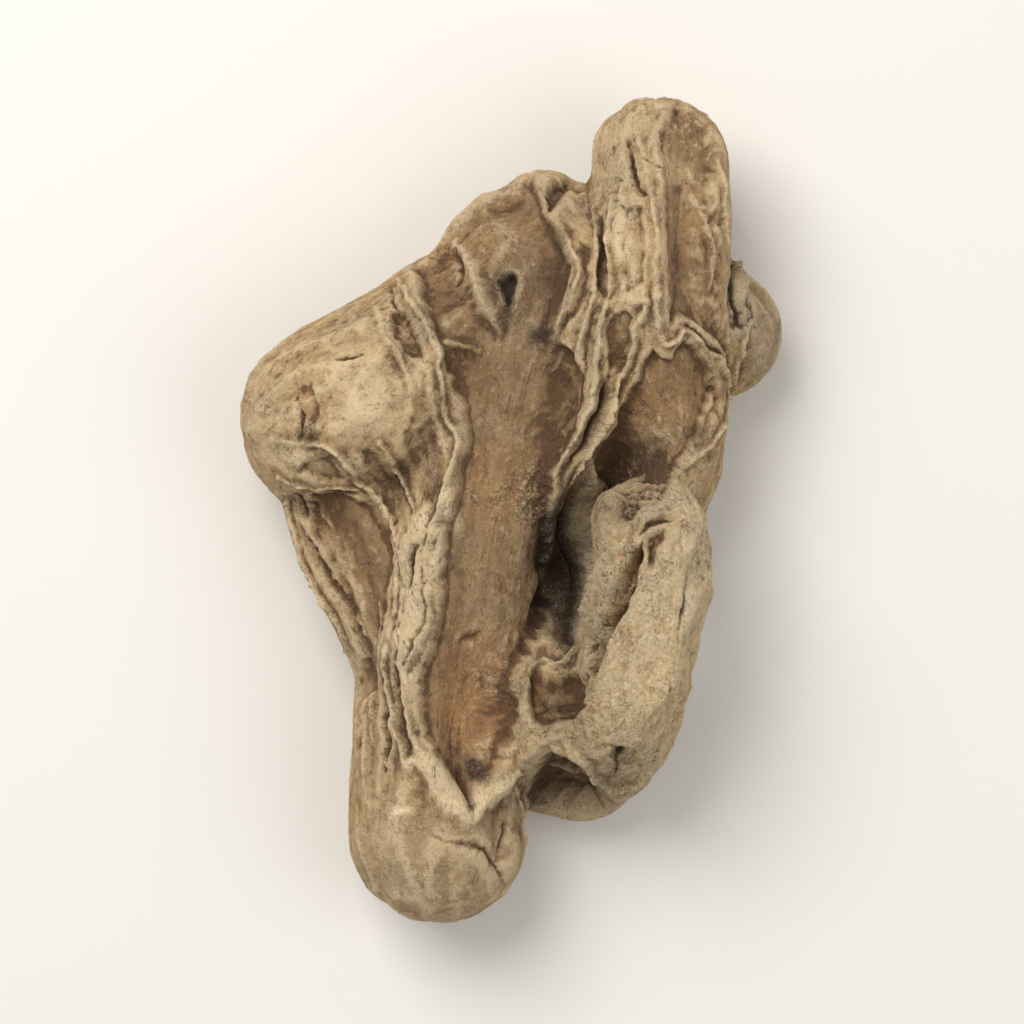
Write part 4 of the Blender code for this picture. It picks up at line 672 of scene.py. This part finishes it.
def with_modifiers(mesh, add):
    """The mesh after the modifiers that add puts on it."""
    body = bpy.data.objects.new("body", mesh)
    bpy.context.scene.collection.objects.link(body)
    add(body.modifiers)
    bpy.context.view_layer.update()
    made = bpy.data.meshes.new_from_object(body.evaluated_get(bpy.context.evaluated_depsgraph_get()))
    bpy.data.objects.remove(body, do_unlink=True)
    return made


def reskin(mesh, voxel, passes):
    """One closed skin round everything in the mesh, smoothed the given number of times."""

    def add(modifiers):
        skin = modifiers.new("skin", "REMESH")
        skin.mode = "VOXEL"
        skin.voxel_size = voxel
        blend = modifiers.new("blend", "SMOOTH")
        blend.factor = 0.5
        blend.iterations = passes

    return with_modifiers(mesh, add)


def thin_out(mesh, triangles):
    """The mesh collapsed to the number of triangles."""
    have = sum(len(p.vertices) - 2 for p in mesh.polygons)

    def add(modifiers):
        thin = modifiers.new("thin", "DECIMATE")
        thin.ratio = min(1.0, triangles / have)
        thin.use_collapse_triangulate = True

    return with_modifiers(mesh, add)


def mesh_points(mesh):
    """The mesh's vertices as an array."""
    points = np.empty(len(mesh.vertices) * 3)
    mesh.vertices.foreach_get("co", points)
    return points.reshape(-1, 3)


def mesh_normals(mesh):
    """The vertex normals as an array."""
    normals = np.empty(len(mesh.vertices) * 3)
    mesh.vertices.foreach_get("normal", normals)
    return normals.reshape(-1, 3)


def skin_tree(mesh):
    """The mesh as a surface that lines can be laid on."""
    return BVHTree.FromPolygons(mesh_points(mesh).tolist(), [p.vertices[:] for p in mesh.polygons])


def wobbled(points):
    """The points pushed about a little, so that what is measured from them has ragged edges."""
    pushed = points.copy()
    for amount, size in WOBBLES:
        pushed += amount * np.array([noise.noise_vector(Vector(p) / size + SEED_SHIFT) for p in points])
    return pushed


def drape(tree, stations, side):
    """A drawn line laid on the skin, from above for side 1 and from below for side -1."""
    laid = []
    for x, y, half_width, amount in smooth_line(stations, LINE_STEP):
        hit = tree.ray_cast(Vector((x, y, DRAPE_FROM * side)), Vector((0, 0, -side)))[0]
        if hit is not None:
            laid.append((*hit, half_width, amount))
    return np.array(laid)


def stroke(points, laid, fall):
    """How strongly one draped line acts at each point."""
    amount = np.zeros(len(points))
    if len(laid) < 2:
        return amount
    reach = LINE_REACH * laid[:, 3].max()
    line = laid[:, :3]
    near = ((points > line.min(0) - reach) & (points < line.max(0) + reach)).all(1)
    index = np.nonzero(near)[0]
    for some in np.array_split(index, len(index) // MOST_AT_ONCE + 1):
        gaps = np.linalg.norm(points[some][:, None] - line[None], axis=2)
        nearest = gaps.argmin(1)
        gap = gaps[np.arange(len(some)), nearest] / laid[nearest, 3]
        amount[some] = laid[nearest, 4] * np.exp(-(gap**fall))
    return amount


def strokes(points, tree, lines, fall, side=1):
    """The strongest of several draped lines at each point."""
    strongest = np.zeros(len(points))
    for stations in lines:
        strongest = np.maximum(strongest, stroke(points, drape(tree, stations, side), fall))
    return strongest


def inside_gap(places, corners):
    """How far inside the outline each place is, and 0 outside it."""
    inside = np.zeros(len(places), bool)
    gap = np.full(len(places), np.inf)
    for start, end in zip(corners, np.roll(corners, -1, axis=0)):
        way = end - start
        off = places - start
        crosses = (off[:, 1] < 0) != (places[:, 1] < end[1])
        inside ^= crosses & (off[:, 0] * way[1] < off[:, 1] * way[0]) ^ (crosses & (way[1] < 0))
        share = np.clip(off @ way / (way @ way), 0, 1)
        gap = np.minimum(gap, np.linalg.norm(off - share[:, None] * way, axis=1))
    return np.where(inside, gap, 0.0)


def soft_step(share):
    """Rises smoothly from 0 to 1."""
    share = np.clip(share, 0, 1)
    return share * share * (3 - 2 * share)


def sunken(points, facing):
    """How deep the bark has sunk into the panels at each point, on the side that faces up only."""
    depth = np.zeros(len(points))
    for step, wall, bowl, outline in PANELS.values():
        corners = np.array(outline)
        near = ((points[:, :2] > corners.min(0)) & (points[:, :2] < corners.max(0))).all(1)
        index = np.nonzero(near & (facing > 0))[0]
        gap = inside_gap(points[index, :2], corners)
        sunk = step * soft_step(gap / wall) + bowl * soft_step(gap / BOWL_WIDTH)
        depth[index] = np.maximum(depth[index], sunk)
    return depth * soft_step(facing / FACES_UP)


def planed(points, facing):
    """How much the flat faces take off at each point, on the side that faces up only."""
    depth = np.zeros(len(points))
    for height, along_x, along_y, outline in FLATS.values():
        plane = height + along_x * points[:, 0] + along_y * points[:, 1]
        over = (points[:, 2] > plane) & (facing > 0)
        share = soft_step(inside_gap(points[over, :2], np.array(outline)) / FLAT_EDGE)
        depth[over] = np.maximum(depth[over], share * (points[over, 2] - plane[over]))
    return depth


def lobe_place(points, stations):
    """Each point off the lobe's middle line, how far along it, the lobe's direction there, and the gap."""
    middle = smooth_line(stations, BEAD_STEP)[:, :3]
    ways = np.gradient(middle, axis=0)
    ways /= np.linalg.norm(ways, axis=1)[:, None]
    gaps = np.linalg.norm(points[:, None] - middle[None], axis=2)
    pull = np.exp(-gaps / AXIS_BLEND)
    pull /= pull.sum(1)[:, None]
    way = pull @ ways
    way /= np.linalg.norm(way, axis=1)[:, None]
    off = points - pull @ middle
    along = (off * way).sum(1)
    run = along + pull @ (np.arange(len(middle)) * BEAD_STEP)
    return off - along[:, None] * way, run, way, gaps.min(1)


def wrinkles(points):
    """The wrinkles of every lobe blended where lobes meet, on top of slow swellings."""
    crests, gaps = [], []
    for stations in LOBES.values():
        off, run, way, gap = lobe_place(points, stations)
        place = off / WRINKLE_ACROSS + way * (run / WRINKLE_ALONG)[:, None]
        crests.append([1.0 - WRINKLE_SHARPNESS * abs(noise.noise(Vector(p) + SEED_SHIFT)) for p in place])
        gaps.append(gap)
    pull = np.exp(-np.array(gaps) / LOBE_BLEND)
    crest = (np.array(crests) * pull).sum(0) / pull.sum(0)
    swell = np.array([noise.noise(Vector(p) / SWELL_SIZE + SEED_SHIFT) for p in points])
    return WRINKLE_DEPTH * crest + SWELL_DEPTH * swell


def dried_rise(points, normals, tree):
    """How far drying moves each point of the plump skin out, or in where it is negative."""
    ragged = wobbled(points)
    hollow = strokes(points, tree, HOLLOWS, HOLLOW_FALL)
    sunk = sunken(ragged, normals[:, 2])
    uneven = 1 + FOLD_UNEVEN * np.array([noise.noise(Vector(p) / FOLD_UNEVEN_SIZE) for p in points])
    rise = wrinkles(points) * np.exp(-SUNK_SMOOTHING * (hollow + sunk))
    rise -= hollow + sunk + planed(points, normals[:, 2])
    rise += uneven * strokes(ragged, tree, FOLDS, FOLD_FALL)
    rise -= strokes(ragged, tree, GROOVES, GROOVE_FALL)
    rise -= strokes(points, tree, UNDER_HOLLOWS, HOLLOW_FALL, -1)
    rise += strokes(ragged, tree, UNDER_FOLDS, FOLD_FALL, -1)
    return rise


def speckle(places, seed):
    """Smooth noise from about -1 to 1 at every place."""
    arrows = np.random.default_rng(seed).normal(size=(SPECKLE_ARROWS, 3))
    arrows /= np.linalg.norm(arrows, axis=1)[:, None]
    cell = np.floor(places).astype(np.int64)
    part = places - cell
    fade = part**3 * (part * (part * 6 - 15) + 10)
    total = np.zeros(len(places))
    for corner in np.ndindex(2, 2, 2):
        mixed = np.bitwise_xor.reduce((cell + corner) * SPECKLE_PRIMES, axis=1)
        arrow = arrows[(mixed ^ mixed >> 11) % SPECKLE_ARROWS]
        share = np.prod(np.where(corner, fade, 1 - fade), axis=1)
        total += share * (arrow * (part - corner)).sum(1)
    return total * SPECKLE_SPREAD


def layered(points, layers):
    """Smooth noise of several sizes added up. Each layer has its size, its share and its seed."""
    return sum(share * speckle(points / size, seed) for size, share, seed in layers)


def clouded(points):
    """The points pushed about a lot, so that what is painted by them has soft uneven edges."""
    return points + CLOUD_PUSH * np.array([speckle(points / CLOUD_SIZE, seed) for seed in CLOUD_SEEDS]).T


def lobe_weights(points):
    """For each lobe, its place and how much it counts at each point."""
    places = {name: lobe_place(points, stations) for name, stations in LOBES.items()}
    pull = {name: np.exp(-place[3] / WEIGHT_BLEND) for name, place in places.items()}
    total = sum(pull.values())
    return {name: (*places[name][:3], pull[name] / total) for name in LOBES}


def fine_wrinkles(points):
    """The small lengthwise wrinkles of the bark."""
    rise = np.zeros(len(points))
    for off, run, way, share in lobe_weights(points).values():
        here = share > LEAST_SHARE
        for across, along, depth, seed in FINE_WRINKLES:
            place = off[here] / across + way[here] * (run[here] / along)[:, None]
            rise[here] += share[here] * depth * (WRINKLE_TOP - 2.0 * np.abs(speckle(place, seed)))
    return rise


def painted(points, facing, patches):
    """How strongly the patches colour each point, on the side that faces up only."""
    strongest = np.zeros(len(points))
    for x, y, half_width, half_length, strength in patches:
        gap = ((points[:, 0] - x) / half_width) ** 2 + ((points[:, 1] - y) / half_length) ** 2
        strongest = np.maximum(strongest, strength * np.exp(-PATCH_FALL * gap**1.5))
    return np.clip(strongest * np.clip(0.5 + 1.2 * facing, 0, 1), 0, 1)


def scaled_folds(share):
    """The thin folds with their widths scaled, and the broad ones as they are."""
    return [
        [(x, y, width * (share if width < THIN_FOLD else 1.0), height) for x, y, width, height in line]
        for line in FOLDS
    ]


def furrows(points, ragged, tree):
    """The broken furrows along the feet of the folds, from 0 to 1."""
    beside = strokes(ragged, tree, scaled_folds(FURROW_REACH), FURROW_FALL)
    beside -= strokes(ragged, tree, FOLDS, FOLD_FALL)
    broken = np.clip(0.45 + layered(points, FURROW_BREAKS), 0, 1)
    return np.clip(beside / FULL["furrow"], 0, 1) * broken


def bark_masks(points, normals, tree):
    """Where each kind of bark is, from 0 to 1, at each point."""
    ragged = wobbled(points)
    cloudy = clouded(points)
    facing = normals[:, 2]
    stub = lobe_weights(points)["stub_finger"][3]
    under_fold = strokes(ragged, tree, UNDER_FOLDS, FOLD_FALL, -1)
    fold = np.maximum(strokes(ragged, tree, scaled_folds(PINCHED), FOLD_FALL), under_fold)
    under_hollow = strokes(cloudy, tree, UNDER_HOLLOWS, HOLLOW_FALL, -1)
    hollow = np.maximum(strokes(cloudy, tree, HOLLOWS, HOLLOW_FALL), under_hollow)
    groove = strokes(ragged, tree, GROOVES, GROOVE_FALL)
    crack = strokes(ragged, tree, CRACKS, CRACK_FALL)
    sunk = np.clip(sunken(ragged, facing) / FULL["sunk"], 0, 1)
    masks = {
        "crest": np.clip(fold / FULL["crest"], 0, 1) * (1 - 0.6 * sunk),
        "furrow": furrows(points, ragged, tree),
        "hollow": np.clip(hollow / FULL["hollow"], 0, 1),
        "sunk": sunk,
        "groove": np.clip(groove / FULL["groove"], 0, 1),
        "crack": np.clip(crack / FULL["crack"], 0, 1),
        # Pale cork only where the skin faces up, leaving the steep walls of the stub finger darker as painted
        # shade
        "cork": np.clip(stub * 1.3 - 0.2, 0, 1) * soft_step((facing + 0.1) / 0.5) * (1 - sunk),
    }
    for name, patches in PATCHES.items():
        masks[name] = painted(ragged if name == "dark" else cloudy, facing, patches)
    return masks


def rough_bark(points, facing, crest):
    """The fine relief of the bark: wrinkles, rough crests, crumbs and cork."""
    cloudy = clouded(points)
    smooth = painted(cloudy, facing, PATCHES["smooth"])
    crumb = painted(cloudy, facing, PATCHES["crumb"])
    cork = lobe_weights(points)["stub_finger"][3]
    lumps = layered(points, LUMPS)
    rise = fine_wrinkles(points) * (1 - smooth) * (1 - 0.6 * cork)
    rise += crest * (CREST_SHARE + CREST_ROUGH * lumps)
    rise += BARK_ROUGH * (1 - 0.5 * smooth) * lumps
    rise += CRUMB_DEPTH * crumb * layered(points, CRUMBS)
    rise += cork * (CORK_DEPTH * flaky_cork(points) + CORK_ROUGH * lumps)
    return rise


def flaky_cork(points):
    """Thin slanted flakes with stepped edges, as on the face of the stubby finger."""
    level = layered(points @ np.array(CORK_SLANT), CORK_FLAKES)
    level *= CORK_STEPS
    step = np.floor(level)
    return (step + soft_step(2.4 * (level - step) - 0.7)) / CORK_STEPS


def move_to(mesh, points):
    """Puts the mesh's vertices at the points."""
    mesh.vertices.foreach_set("co", points.ravel())
    mesh.update()


def dry_out(mesh, tree):
    """Sinks and folds the plump skin, opens its cracks and roughens its bark."""
    points = mesh_points(mesh)
    normals = mesh_normals(mesh)
    ragged = wobbled(points)
    rise = dried_rise(points, normals, tree)
    rise += rough_bark(points, normals[:, 2], strokes(ragged, tree, FOLDS, 1.0))
    rise += strokes(ragged, tree, scaled_folds(PINCHED), FOLD_FALL) - strokes(ragged, tree, FOLDS, FOLD_FALL)
    rise -= FURROW_DEPTH * furrows(points, ragged, tree)
    rise -= strokes(ragged, tree, CRACKS, CRACK_FALL)
    points += normals * rise[:, None]
    points[:, 2] = np.maximum(points[:, 2], REST_LEVEL)
    move_to(mesh, points)


def neighbour_mean(mesh, values, passes):
    """The values averaged over neighbouring vertices."""
    edges = np.empty(len(mesh.edges) * 2, int)
    mesh.edges.foreach_get("vertices", edges)
    edges = edges.reshape(-1, 2)
    count = np.bincount(edges.ravel(), minlength=len(values))
    for _ in range(passes):
        total = np.bincount(edges[:, 0], values[edges[:, 1]], len(values))
        total += np.bincount(edges[:, 1], values[edges[:, 0]], len(values))
        values = total / count
    return values


def off_the_bark_round(mesh, reach):
    """Each point, and the way from it to the middle of the bark round it."""
    points = mesh_points(mesh)
    around = np.array([neighbour_mean(mesh, points[:, i], reach) for i in range(3)]).T
    return points, around - points


def calm(mesh, reach, most):
    """Draws in the few points that stick further than the most out of the bark round them."""
    for _ in range(CALM_PASSES):
        points, way_in = off_the_bark_round(mesh, reach)
        share = np.clip(np.linalg.norm(way_in, axis=1) / most - 1, 0, 1)
        move_to(mesh, points + share[:, None] * way_in)


def standing_proud(mesh, reach, unit):
    """How far each point stands out of the bark round it, from 0, sunk, to 1, proud."""
    way_in = off_the_bark_round(mesh, reach)[1]
    return np.clip(0.5 - (way_in * mesh_normals(mesh)).sum(1) / unit, 0, 1)


def bark_run(points):
    """A place for the streaks of the bark: across and along the lobes, in millimetres."""
    place = np.zeros((len(points), 3))
    for off, run, way, share in lobe_weights(points).values():
        place += share[:, None] * (off + way * (RUN_STRETCH * run)[:, None])
    return place


def carry(mesh, masks):
    """Stores the masks on the mesh."""
    for name, values in masks.items():
        mesh.attributes.new(name, "FLOAT", "POINT").data.foreach_set("value", values.astype(np.float32))


def bark_mesh():
    """The whole root's fine skin with its masks, in metres."""
    plump = reskin(beads_mesh(), SKIN_VOXEL, BLEND_PASSES)
    fine = reskin(plump, BARK_VOXEL, BARK_PASSES)
    tree = skin_tree(plump)
    carry(fine, bark_masks(mesh_points(fine), mesh_normals(fine), tree))
    run = bark_run(mesh_points(fine)).astype(np.float32)
    fine.attributes.new("bark_run", "FLOAT_VECTOR", "POINT").data.foreach_set("vector", run.ravel())
    dry_out(fine, tree)
    for reach, most in CALM_SIZES:
        calm(fine, reach, most)
    mesh = thin_out(fine, BARK_TRIANGLES)
    carry(mesh, {name: standing_proud(mesh, *sizes) for name, sizes in RELIEFS.items()})
    mesh.shade_smooth()
    move_to(mesh, (mesh_points(mesh) - (*BOX_MIDDLE, REST_LEVEL)) * MM)
    mesh.name = "bark"
    return mesh


def shade(red, green, blue):
    """A colour given by its screen values from 0 to 255."""
    parts = [c / 255 for c in (red, green, blue)]
    return (*(p / 12.92 if p <= 0.04045 else ((p + 0.055) / 1.055) ** 2.4 for p in parts), 1.0)


# The bark's colours.
TAN = shade(192, 157, 110)
LIGHT_TAN = shade(207, 180, 141)
PALE_CREST = shade(232, 208, 168)
BROWN = shade(136, 104, 70)
RED_BROWN = shade(180, 134, 90)
DARK_BROWN = shade(112, 84, 58)
GREY_TAN = shade(154, 129, 98)
CORK_TAN = shade(255, 230, 184)
CHALK = shade(255, 234, 194)
CORK_SHADE = shade(238, 196, 144)
# Dirt in cracks, grooves and pits, and painted shade in the small sunk spots and at the feet of the folds
DIRT_AND_SHADE = shade(84, 58, 38)
# Stains, and the painted shade of the dark patches
STAIN_AND_SHADE = shade(46, 40, 35)
FLOOR_WHITE = shade(226, 223, 217)

# Patterns of the bark: how many to a millimetre, detail, roughness and warp. The first ones spread evenly,
# the others run along the lobes, and the pits are small round cells.
EVEN_PATTERNS = {
    "clouds": (0.11, 4.0, 0.6, 0.0),
    "mottle": (0.42, 5.0, 0.62, 0.6),
    "blotch": (1.2, 5.0, 0.7, 0.4),
    "grain": (3.2, 5.0, 0.72, 0.0),
    "dust": (8.5, 3.0, 0.65, 0.0),
}
RUNNING_PATTERNS = {
    "streaks": (1.3, 5.0, 0.66, 0.5),
    "bands": (0.34, 2.0, 0.5, 1.2),
    "threads": (0.7, 4.0, 0.6, 0.8),
}
PITS_TO_A_MM = 1.3

# The colours laid over the tan bark, one on another: the colour, the mask that it keeps to, the pattern
# that breaks it up, the two ends of that pattern's range, and the colour's share at each. Where nothing
# breaks it up, the share stands alone.
BARK_LAYERS = [
    (LIGHT_TAN, None, "clouds", 0.36, 0.64, 0.0, 1.0),
    (BROWN, None, "mottle", 0.42, 0.66, 0.0, 0.45),
    # Browner where the bark lies below the bark round it: painted shade in the recesses
    (BROWN, None, "broad_relief", 0.5, 0.28, 0.0, 0.55),
    (BROWN, "low", "mottle", 0.2, 0.6, 0.95, 0.65),
    (RED_BROWN, "warm", "mottle", 0.25, 0.6, 0.55, 0.95),
    (GREY_TAN, "grey", None, 0.8),
    (LIGHT_TAN, "pale", "mottle", 0.62, 0.35, 0.3, 0.9),
    (DARK_BROWN, "sunk", "bands", 0.5, 0.36, 0.0, 0.3),
    (TAN, "sunk", "bands", 0.52, 0.66, 0.0, 0.25),
    (DARK_BROWN, "sunk", "clouds", 0.52, 0.4, 0.0, 0.35),
    (BROWN, None, "blotch", 0.5, 0.3, 0.0, 0.35),
    (PALE_CREST, None, "blotch", 0.54, 0.72, 0.0, 0.4),
    # Corky bark on the stubby finger, chalky chips and crumbs
    (CORK_SHADE, "cork", None, 0.8),
    (CORK_TAN, "cork", "blotch", 0.6, 0.42, 0.0, 0.9),
    (CHALK, "chalk", "blotch", 0.66, 0.44, 0.3, 0.95),
    (PALE_CREST, "crumb", "grain", 0.5, 0.62, 0.0, 1.0),
    (DIRT_AND_SHADE, "crumb", "grain", 0.45, 0.34, 0.0, 0.7),
    # Rubbed pale crests, painted highlights on the proud points and painted shade in the small sunk spots,
    # and the lines of the wrinkles
    (PALE_CREST, "rubbed", "blotch", 0.7, 0.4, 0.4, 1.0),
    (PALE_CREST, None, "fine_relief", 0.53, 0.75, 0.0, 0.5),
    (DIRT_AND_SHADE, "open_bark", "fine_relief", 0.46, 0.2, 0.0, 1.0),
    (BROWN, "streaky", "streaks", 0.48, 0.3, 0.0, 0.35),
    (PALE_CREST, "streaky", "streaks", 0.56, 0.72, 0.0, 0.28),
    # Dirt in hairlines, grooves, cracks and pits, dirt and painted shade at the feet of the folds, and dark
    # stains with painted shade
    (DIRT_AND_SHADE, "hairline", None, 0.7),
    (DIRT_AND_SHADE, "groove", "grain", 0.65, 0.4, 0.35, 0.75),
    # Dirt and painted shade along the feet of the folds
    (DIRT_AND_SHADE, "furrow", "grain", 0.62, 0.4, 0.3, 0.8),
    (DIRT_AND_SHADE, None, "crack", 0.3, 0.9, 0.0, 0.9),
    (DIRT_AND_SHADE, "pits", None, 0.45),
    (STAIN_AND_SHADE, "stained_and_shaded", "grain", 0.7, 0.35, 0.55, 1.0),
    # Dirt and pale dust in the grain
    (DIRT_AND_SHADE, None, "grain", 0.34, 0.5, 0.28, 0.0),
    (PALE_CREST, "grainy", "grain", 0.54, 0.7, 0.0, 0.3),
    (PALE_CREST, "dusty", "dust", 0.55, 0.72, 0.0, 0.22),
    (DIRT_AND_SHADE, None, "dust", 0.44, 0.3, 0.0, 0.2),
]

# How far the bump stands out at its full height, in metres.
BUMP_HEIGHT = 0.0005


class Shader:
    """Adds nodes to one material and joins them up."""

    def __init__(self, tree):
        self.tree = tree

    def node(self, kind, settings=(), inputs=()):
        """The outputs of a new node, with its settings and its inputs put in."""
        made = self.tree.nodes.new(kind)
        for name, value in dict(settings).items():
            setattr(made, name, value)
        for name, value in dict(inputs).items():
            self.put(made, name, value)
        return made.outputs

    def put(self, node, name, value):
        """Sets one input, given by its name or its number, to a value or joins it to a socket."""
        if isinstance(value, bpy.types.NodeSocket):
            self.tree.links.new(value, node.inputs[name])
        else:
            node.inputs[name].default_value = value

    def carried(self, name, output="Fac"):
        """A mask that the mesh carries, or with another output a place."""
        return self.node("ShaderNodeAttribute", {"attribute_name": name})[output]

    def maths(self, operation, *values, clamp=False):
        """The values worked out with one operation."""
        settings = {"operation": operation, "use_clamp": clamp}
        return self.node("ShaderNodeMath", settings, enumerate(values))[0]

    def times(self, a, b):
        """Two values multiplied."""
        return self.maths("MULTIPLY", a, b)

    def scaled(self, value, share, more):
        """The value times a share, with more added."""
        return self.maths("MULTIPLY_ADD", value, share, more)

    def ramp(self, value, low, high, start=0.0, end=1.0):
        """The value carried from one range to another, smoothly and without leaving it."""
        inputs = enumerate((value, low, high, start, end))
        return self.node("ShaderNodeMapRange", {"interpolation_type": "SMOOTHSTEP"}, inputs)[0]

    def blend(self, share, under, over):
        """One colour laid over another."""
        settings = {"data_type": "RGBA", "clamp_factor": True}
        return self.node("ShaderNodeMix", settings, {0: share, 6: under, 7: over})[2]

    def noise(self, place, scale, detail, rough, warp):
        """An uneven pattern at the place."""
        inputs = {"Vector": place, "Scale": scale, "Detail": detail, "Roughness": rough, "Distortion": warp}
        return self.node("ShaderNodeTexNoise", {}, inputs)["Fac"]


def bark_patterns(wire):
    """The masks of the bark, its patterns, and what is worked out from both."""
    place = wire.node("ShaderNodeTexCoord")["Object"]
    place = wire.node("ShaderNodeVectorMath", {"operation": "SCALE"}, {0: place, "Scale": 1 / MM})[0]
    run = wire.carried("bark_run", "Vector")
    marks = {name: wire.carried(name) for name in (*FULL, "cork", *PATCHES, *RELIEFS)}
    marks.update({name: wire.noise(place, *values) for name, values in EVEN_PATTERNS.items()})
    marks.update({name: wire.noise(run, *values) for name, values in RUNNING_PATTERNS.items()})

    marks["low"] = wire.maths("MAXIMUM", marks["hollow"], wire.times(marks["sunk"], 0.8))
    marks["rubbed"] = wire.ramp(marks["crest"], 0.2, 0.6)
    # Where the painted shade of the small sunk spots is laid, less on the cork
    marks["open_bark"] = wire.scaled(marks["cork"], -0.5, 0.75)
    marks["streaky"] = wire.scaled(marks["smooth"], -0.8, 1.0)
    # Stains and painted shade of the dark patches, kept off the crests
    marks["stained_and_shaded"] = wire.times(marks["dark"], wire.scaled(marks["crest"], -0.7, 1.0))
    sunk, dark = marks["sunk"], marks["dark"]
    marks["grainy"] = wire.maths("SUBTRACT", 1.0, wire.scaled(sunk, 0.5, dark), clamp=True)
    marks["dusty"] = wire.maths("SUBTRACT", 1.0, wire.maths("MAXIMUM", sunk, dark), clamp=True)

    # Hairlines where the threads turn
    turn = wire.maths("ABSOLUTE", wire.maths("SUBTRACT", marks["threads"], 0.5))
    hairline = wire.times(wire.ramp(turn, 0.012, 0.003), wire.ramp(marks["mottle"], 0.46, 0.58))
    marks["hairline"] = wire.times(hairline, wire.scaled(marks["smooth"], -0.6, 1.0))

    # Pinhead pits outside the cork
    cells = wire.node("ShaderNodeTexVoronoi", {}, {"Vector": place, "Scale": PITS_TO_A_MM})["Distance"]
    pits = wire.times(wire.ramp(cells, 0.2, 0.06), wire.ramp(marks["blotch"], 0.48, 0.58))
    marks["pits"] = wire.times(pits, wire.maths("SUBTRACT", 1.0, marks["cork"]))
    return marks


def bark_material():
    """Dried ginger bark: tan, paler on its crests, browner in its hollows, with dirt and painted shade in its
    recesses.
    """
    bark = bpy.data.materials.new("dried_bark")
    bark.use_nodes = True
    wire = Shader(bark.node_tree)
    skin = bark.node_tree.nodes["Principled BSDF"]
    marks = bark_patterns(wire)

    colour = TAN
    for paint, where, pattern, *reach in BARK_LAYERS:
        share = wire.ramp(marks[pattern], *reach) if pattern else reach[0]
        colour = wire.blend(wire.times(marks[where], share) if where else share, colour, paint)
    wire.put(skin, "Base Color", colour)

    dull = wire.maths("ADD", marks["grain"], marks["hollow"])
    wire.put(skin, "Roughness", wire.ramp(dull, 0.2, 1.5, 0.95, 0.7))
    wire.put(skin, "Specular IOR Level", 0.3)

    height = wire.scaled(marks["grain"], 0.9, wire.times(marks["dust"], 0.35))
    height = wire.scaled(marks["blotch"], 1.2, height)
    height = wire.scaled(wire.times(marks["streaks"], marks["streaky"]), 0.5, height)
    height = wire.scaled(marks["pits"], -0.5, height)
    height = wire.scaled(marks["hairline"], -0.6, height)
    rough = wire.maths("ADD", wire.scaled(marks["cork"], 0.6, 0.7), wire.times(marks["crumb"], 0.8))
    rough = wire.scaled(marks["smooth"], -0.25, rough)
    bump = {"Strength": 1.0, "Distance": BUMP_HEIGHT, "Height": wire.times(height, rough)}
    wire.put(skin, "Normal", wire.node("ShaderNodeBump", {}, bump)["Normal"])
    return bark


def root_bark():
    """The dressed root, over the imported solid."""
    bark = bpy.data.objects.new("bark", bark_mesh())
    bpy.context.scene.collection.objects.link(bark)
    bark.data.materials.append(bark_material())
    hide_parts("ginger_root")
    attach(bark, "root")


def floor_material():
    """A plain, pale, matt tabletop."""
    floor = bpy.data.materials.new("pale_table")
    floor.use_nodes = True
    skin = floor.node_tree.nodes["Principled BSDF"]
    skin.inputs["Base Color"].default_value = FLOOR_WHITE
    skin.inputs["Roughness"].default_value = 0.9
    skin.inputs["Specular IOR Level"].default_value = 0.2
    return floor


def table_top():
    """The floor that the root lies on."""
    mesh = bpy.data.meshes.new("table_top")
    top = bmesh.new()
    bmesh.ops.create_grid(top, x_segments=1, y_segments=1, size=TABLE_SIZE)
    top.to_mesh(mesh)
    top.free()
    floor = bpy.data.objects.new("table_top", mesh)
    floor.data.materials.append(floor_material())
    bpy.context.scene.collection.objects.link(floor)


def studio():
    """Soft square lights that face the root, in a pale room."""
    for name, (place, size, power, colour) in LIGHTS.items():
        light = bpy.data.lights.new(name, "AREA")
        light.shape = "SQUARE"
        light.size = size
        light.energy = power
        light.color = colour
        lamp = bpy.data.objects.new(name, light)
        lamp.location = place
        lamp.rotation_euler = (Vector(LIT_SPOT) - Vector(place)).to_track_quat("-Z", "Y").to_euler()
        bpy.context.scene.collection.objects.link(lamp)
    room = bpy.data.worlds.new("room")
    room.use_nodes = True
    room.node_tree.nodes["Background"].inputs["Color"].default_value = ROOM_WHITE
    room.node_tree.nodes["Background"].inputs["Strength"].default_value = ROOM_STRENGTH
    bpy.context.scene.world = room


def camera():
    """A long lens looking straight down, with the root's length upright in the picture."""
    lens = bpy.data.cameras.new("camera")
    lens.lens = LENS
    lens.sensor_width = SENSOR_WIDTH
    lens.clip_start = 0.01
    view = bpy.data.objects.new("camera", lens)
    view.location = (0.0, 0.0, PICTURE_LEVEL + PICTURE_WIDTH * LENS / SENSOR_WIDTH)
    bpy.context.scene.collection.objects.link(view)
    bpy.context.scene.camera = view


def main():
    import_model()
    noise.seed_set(NOISE_SEED)
    root_bark()
    table_top()
    studio()
    camera()
    bpy.context.scene.view_settings.view_transform = "Standard"


main()
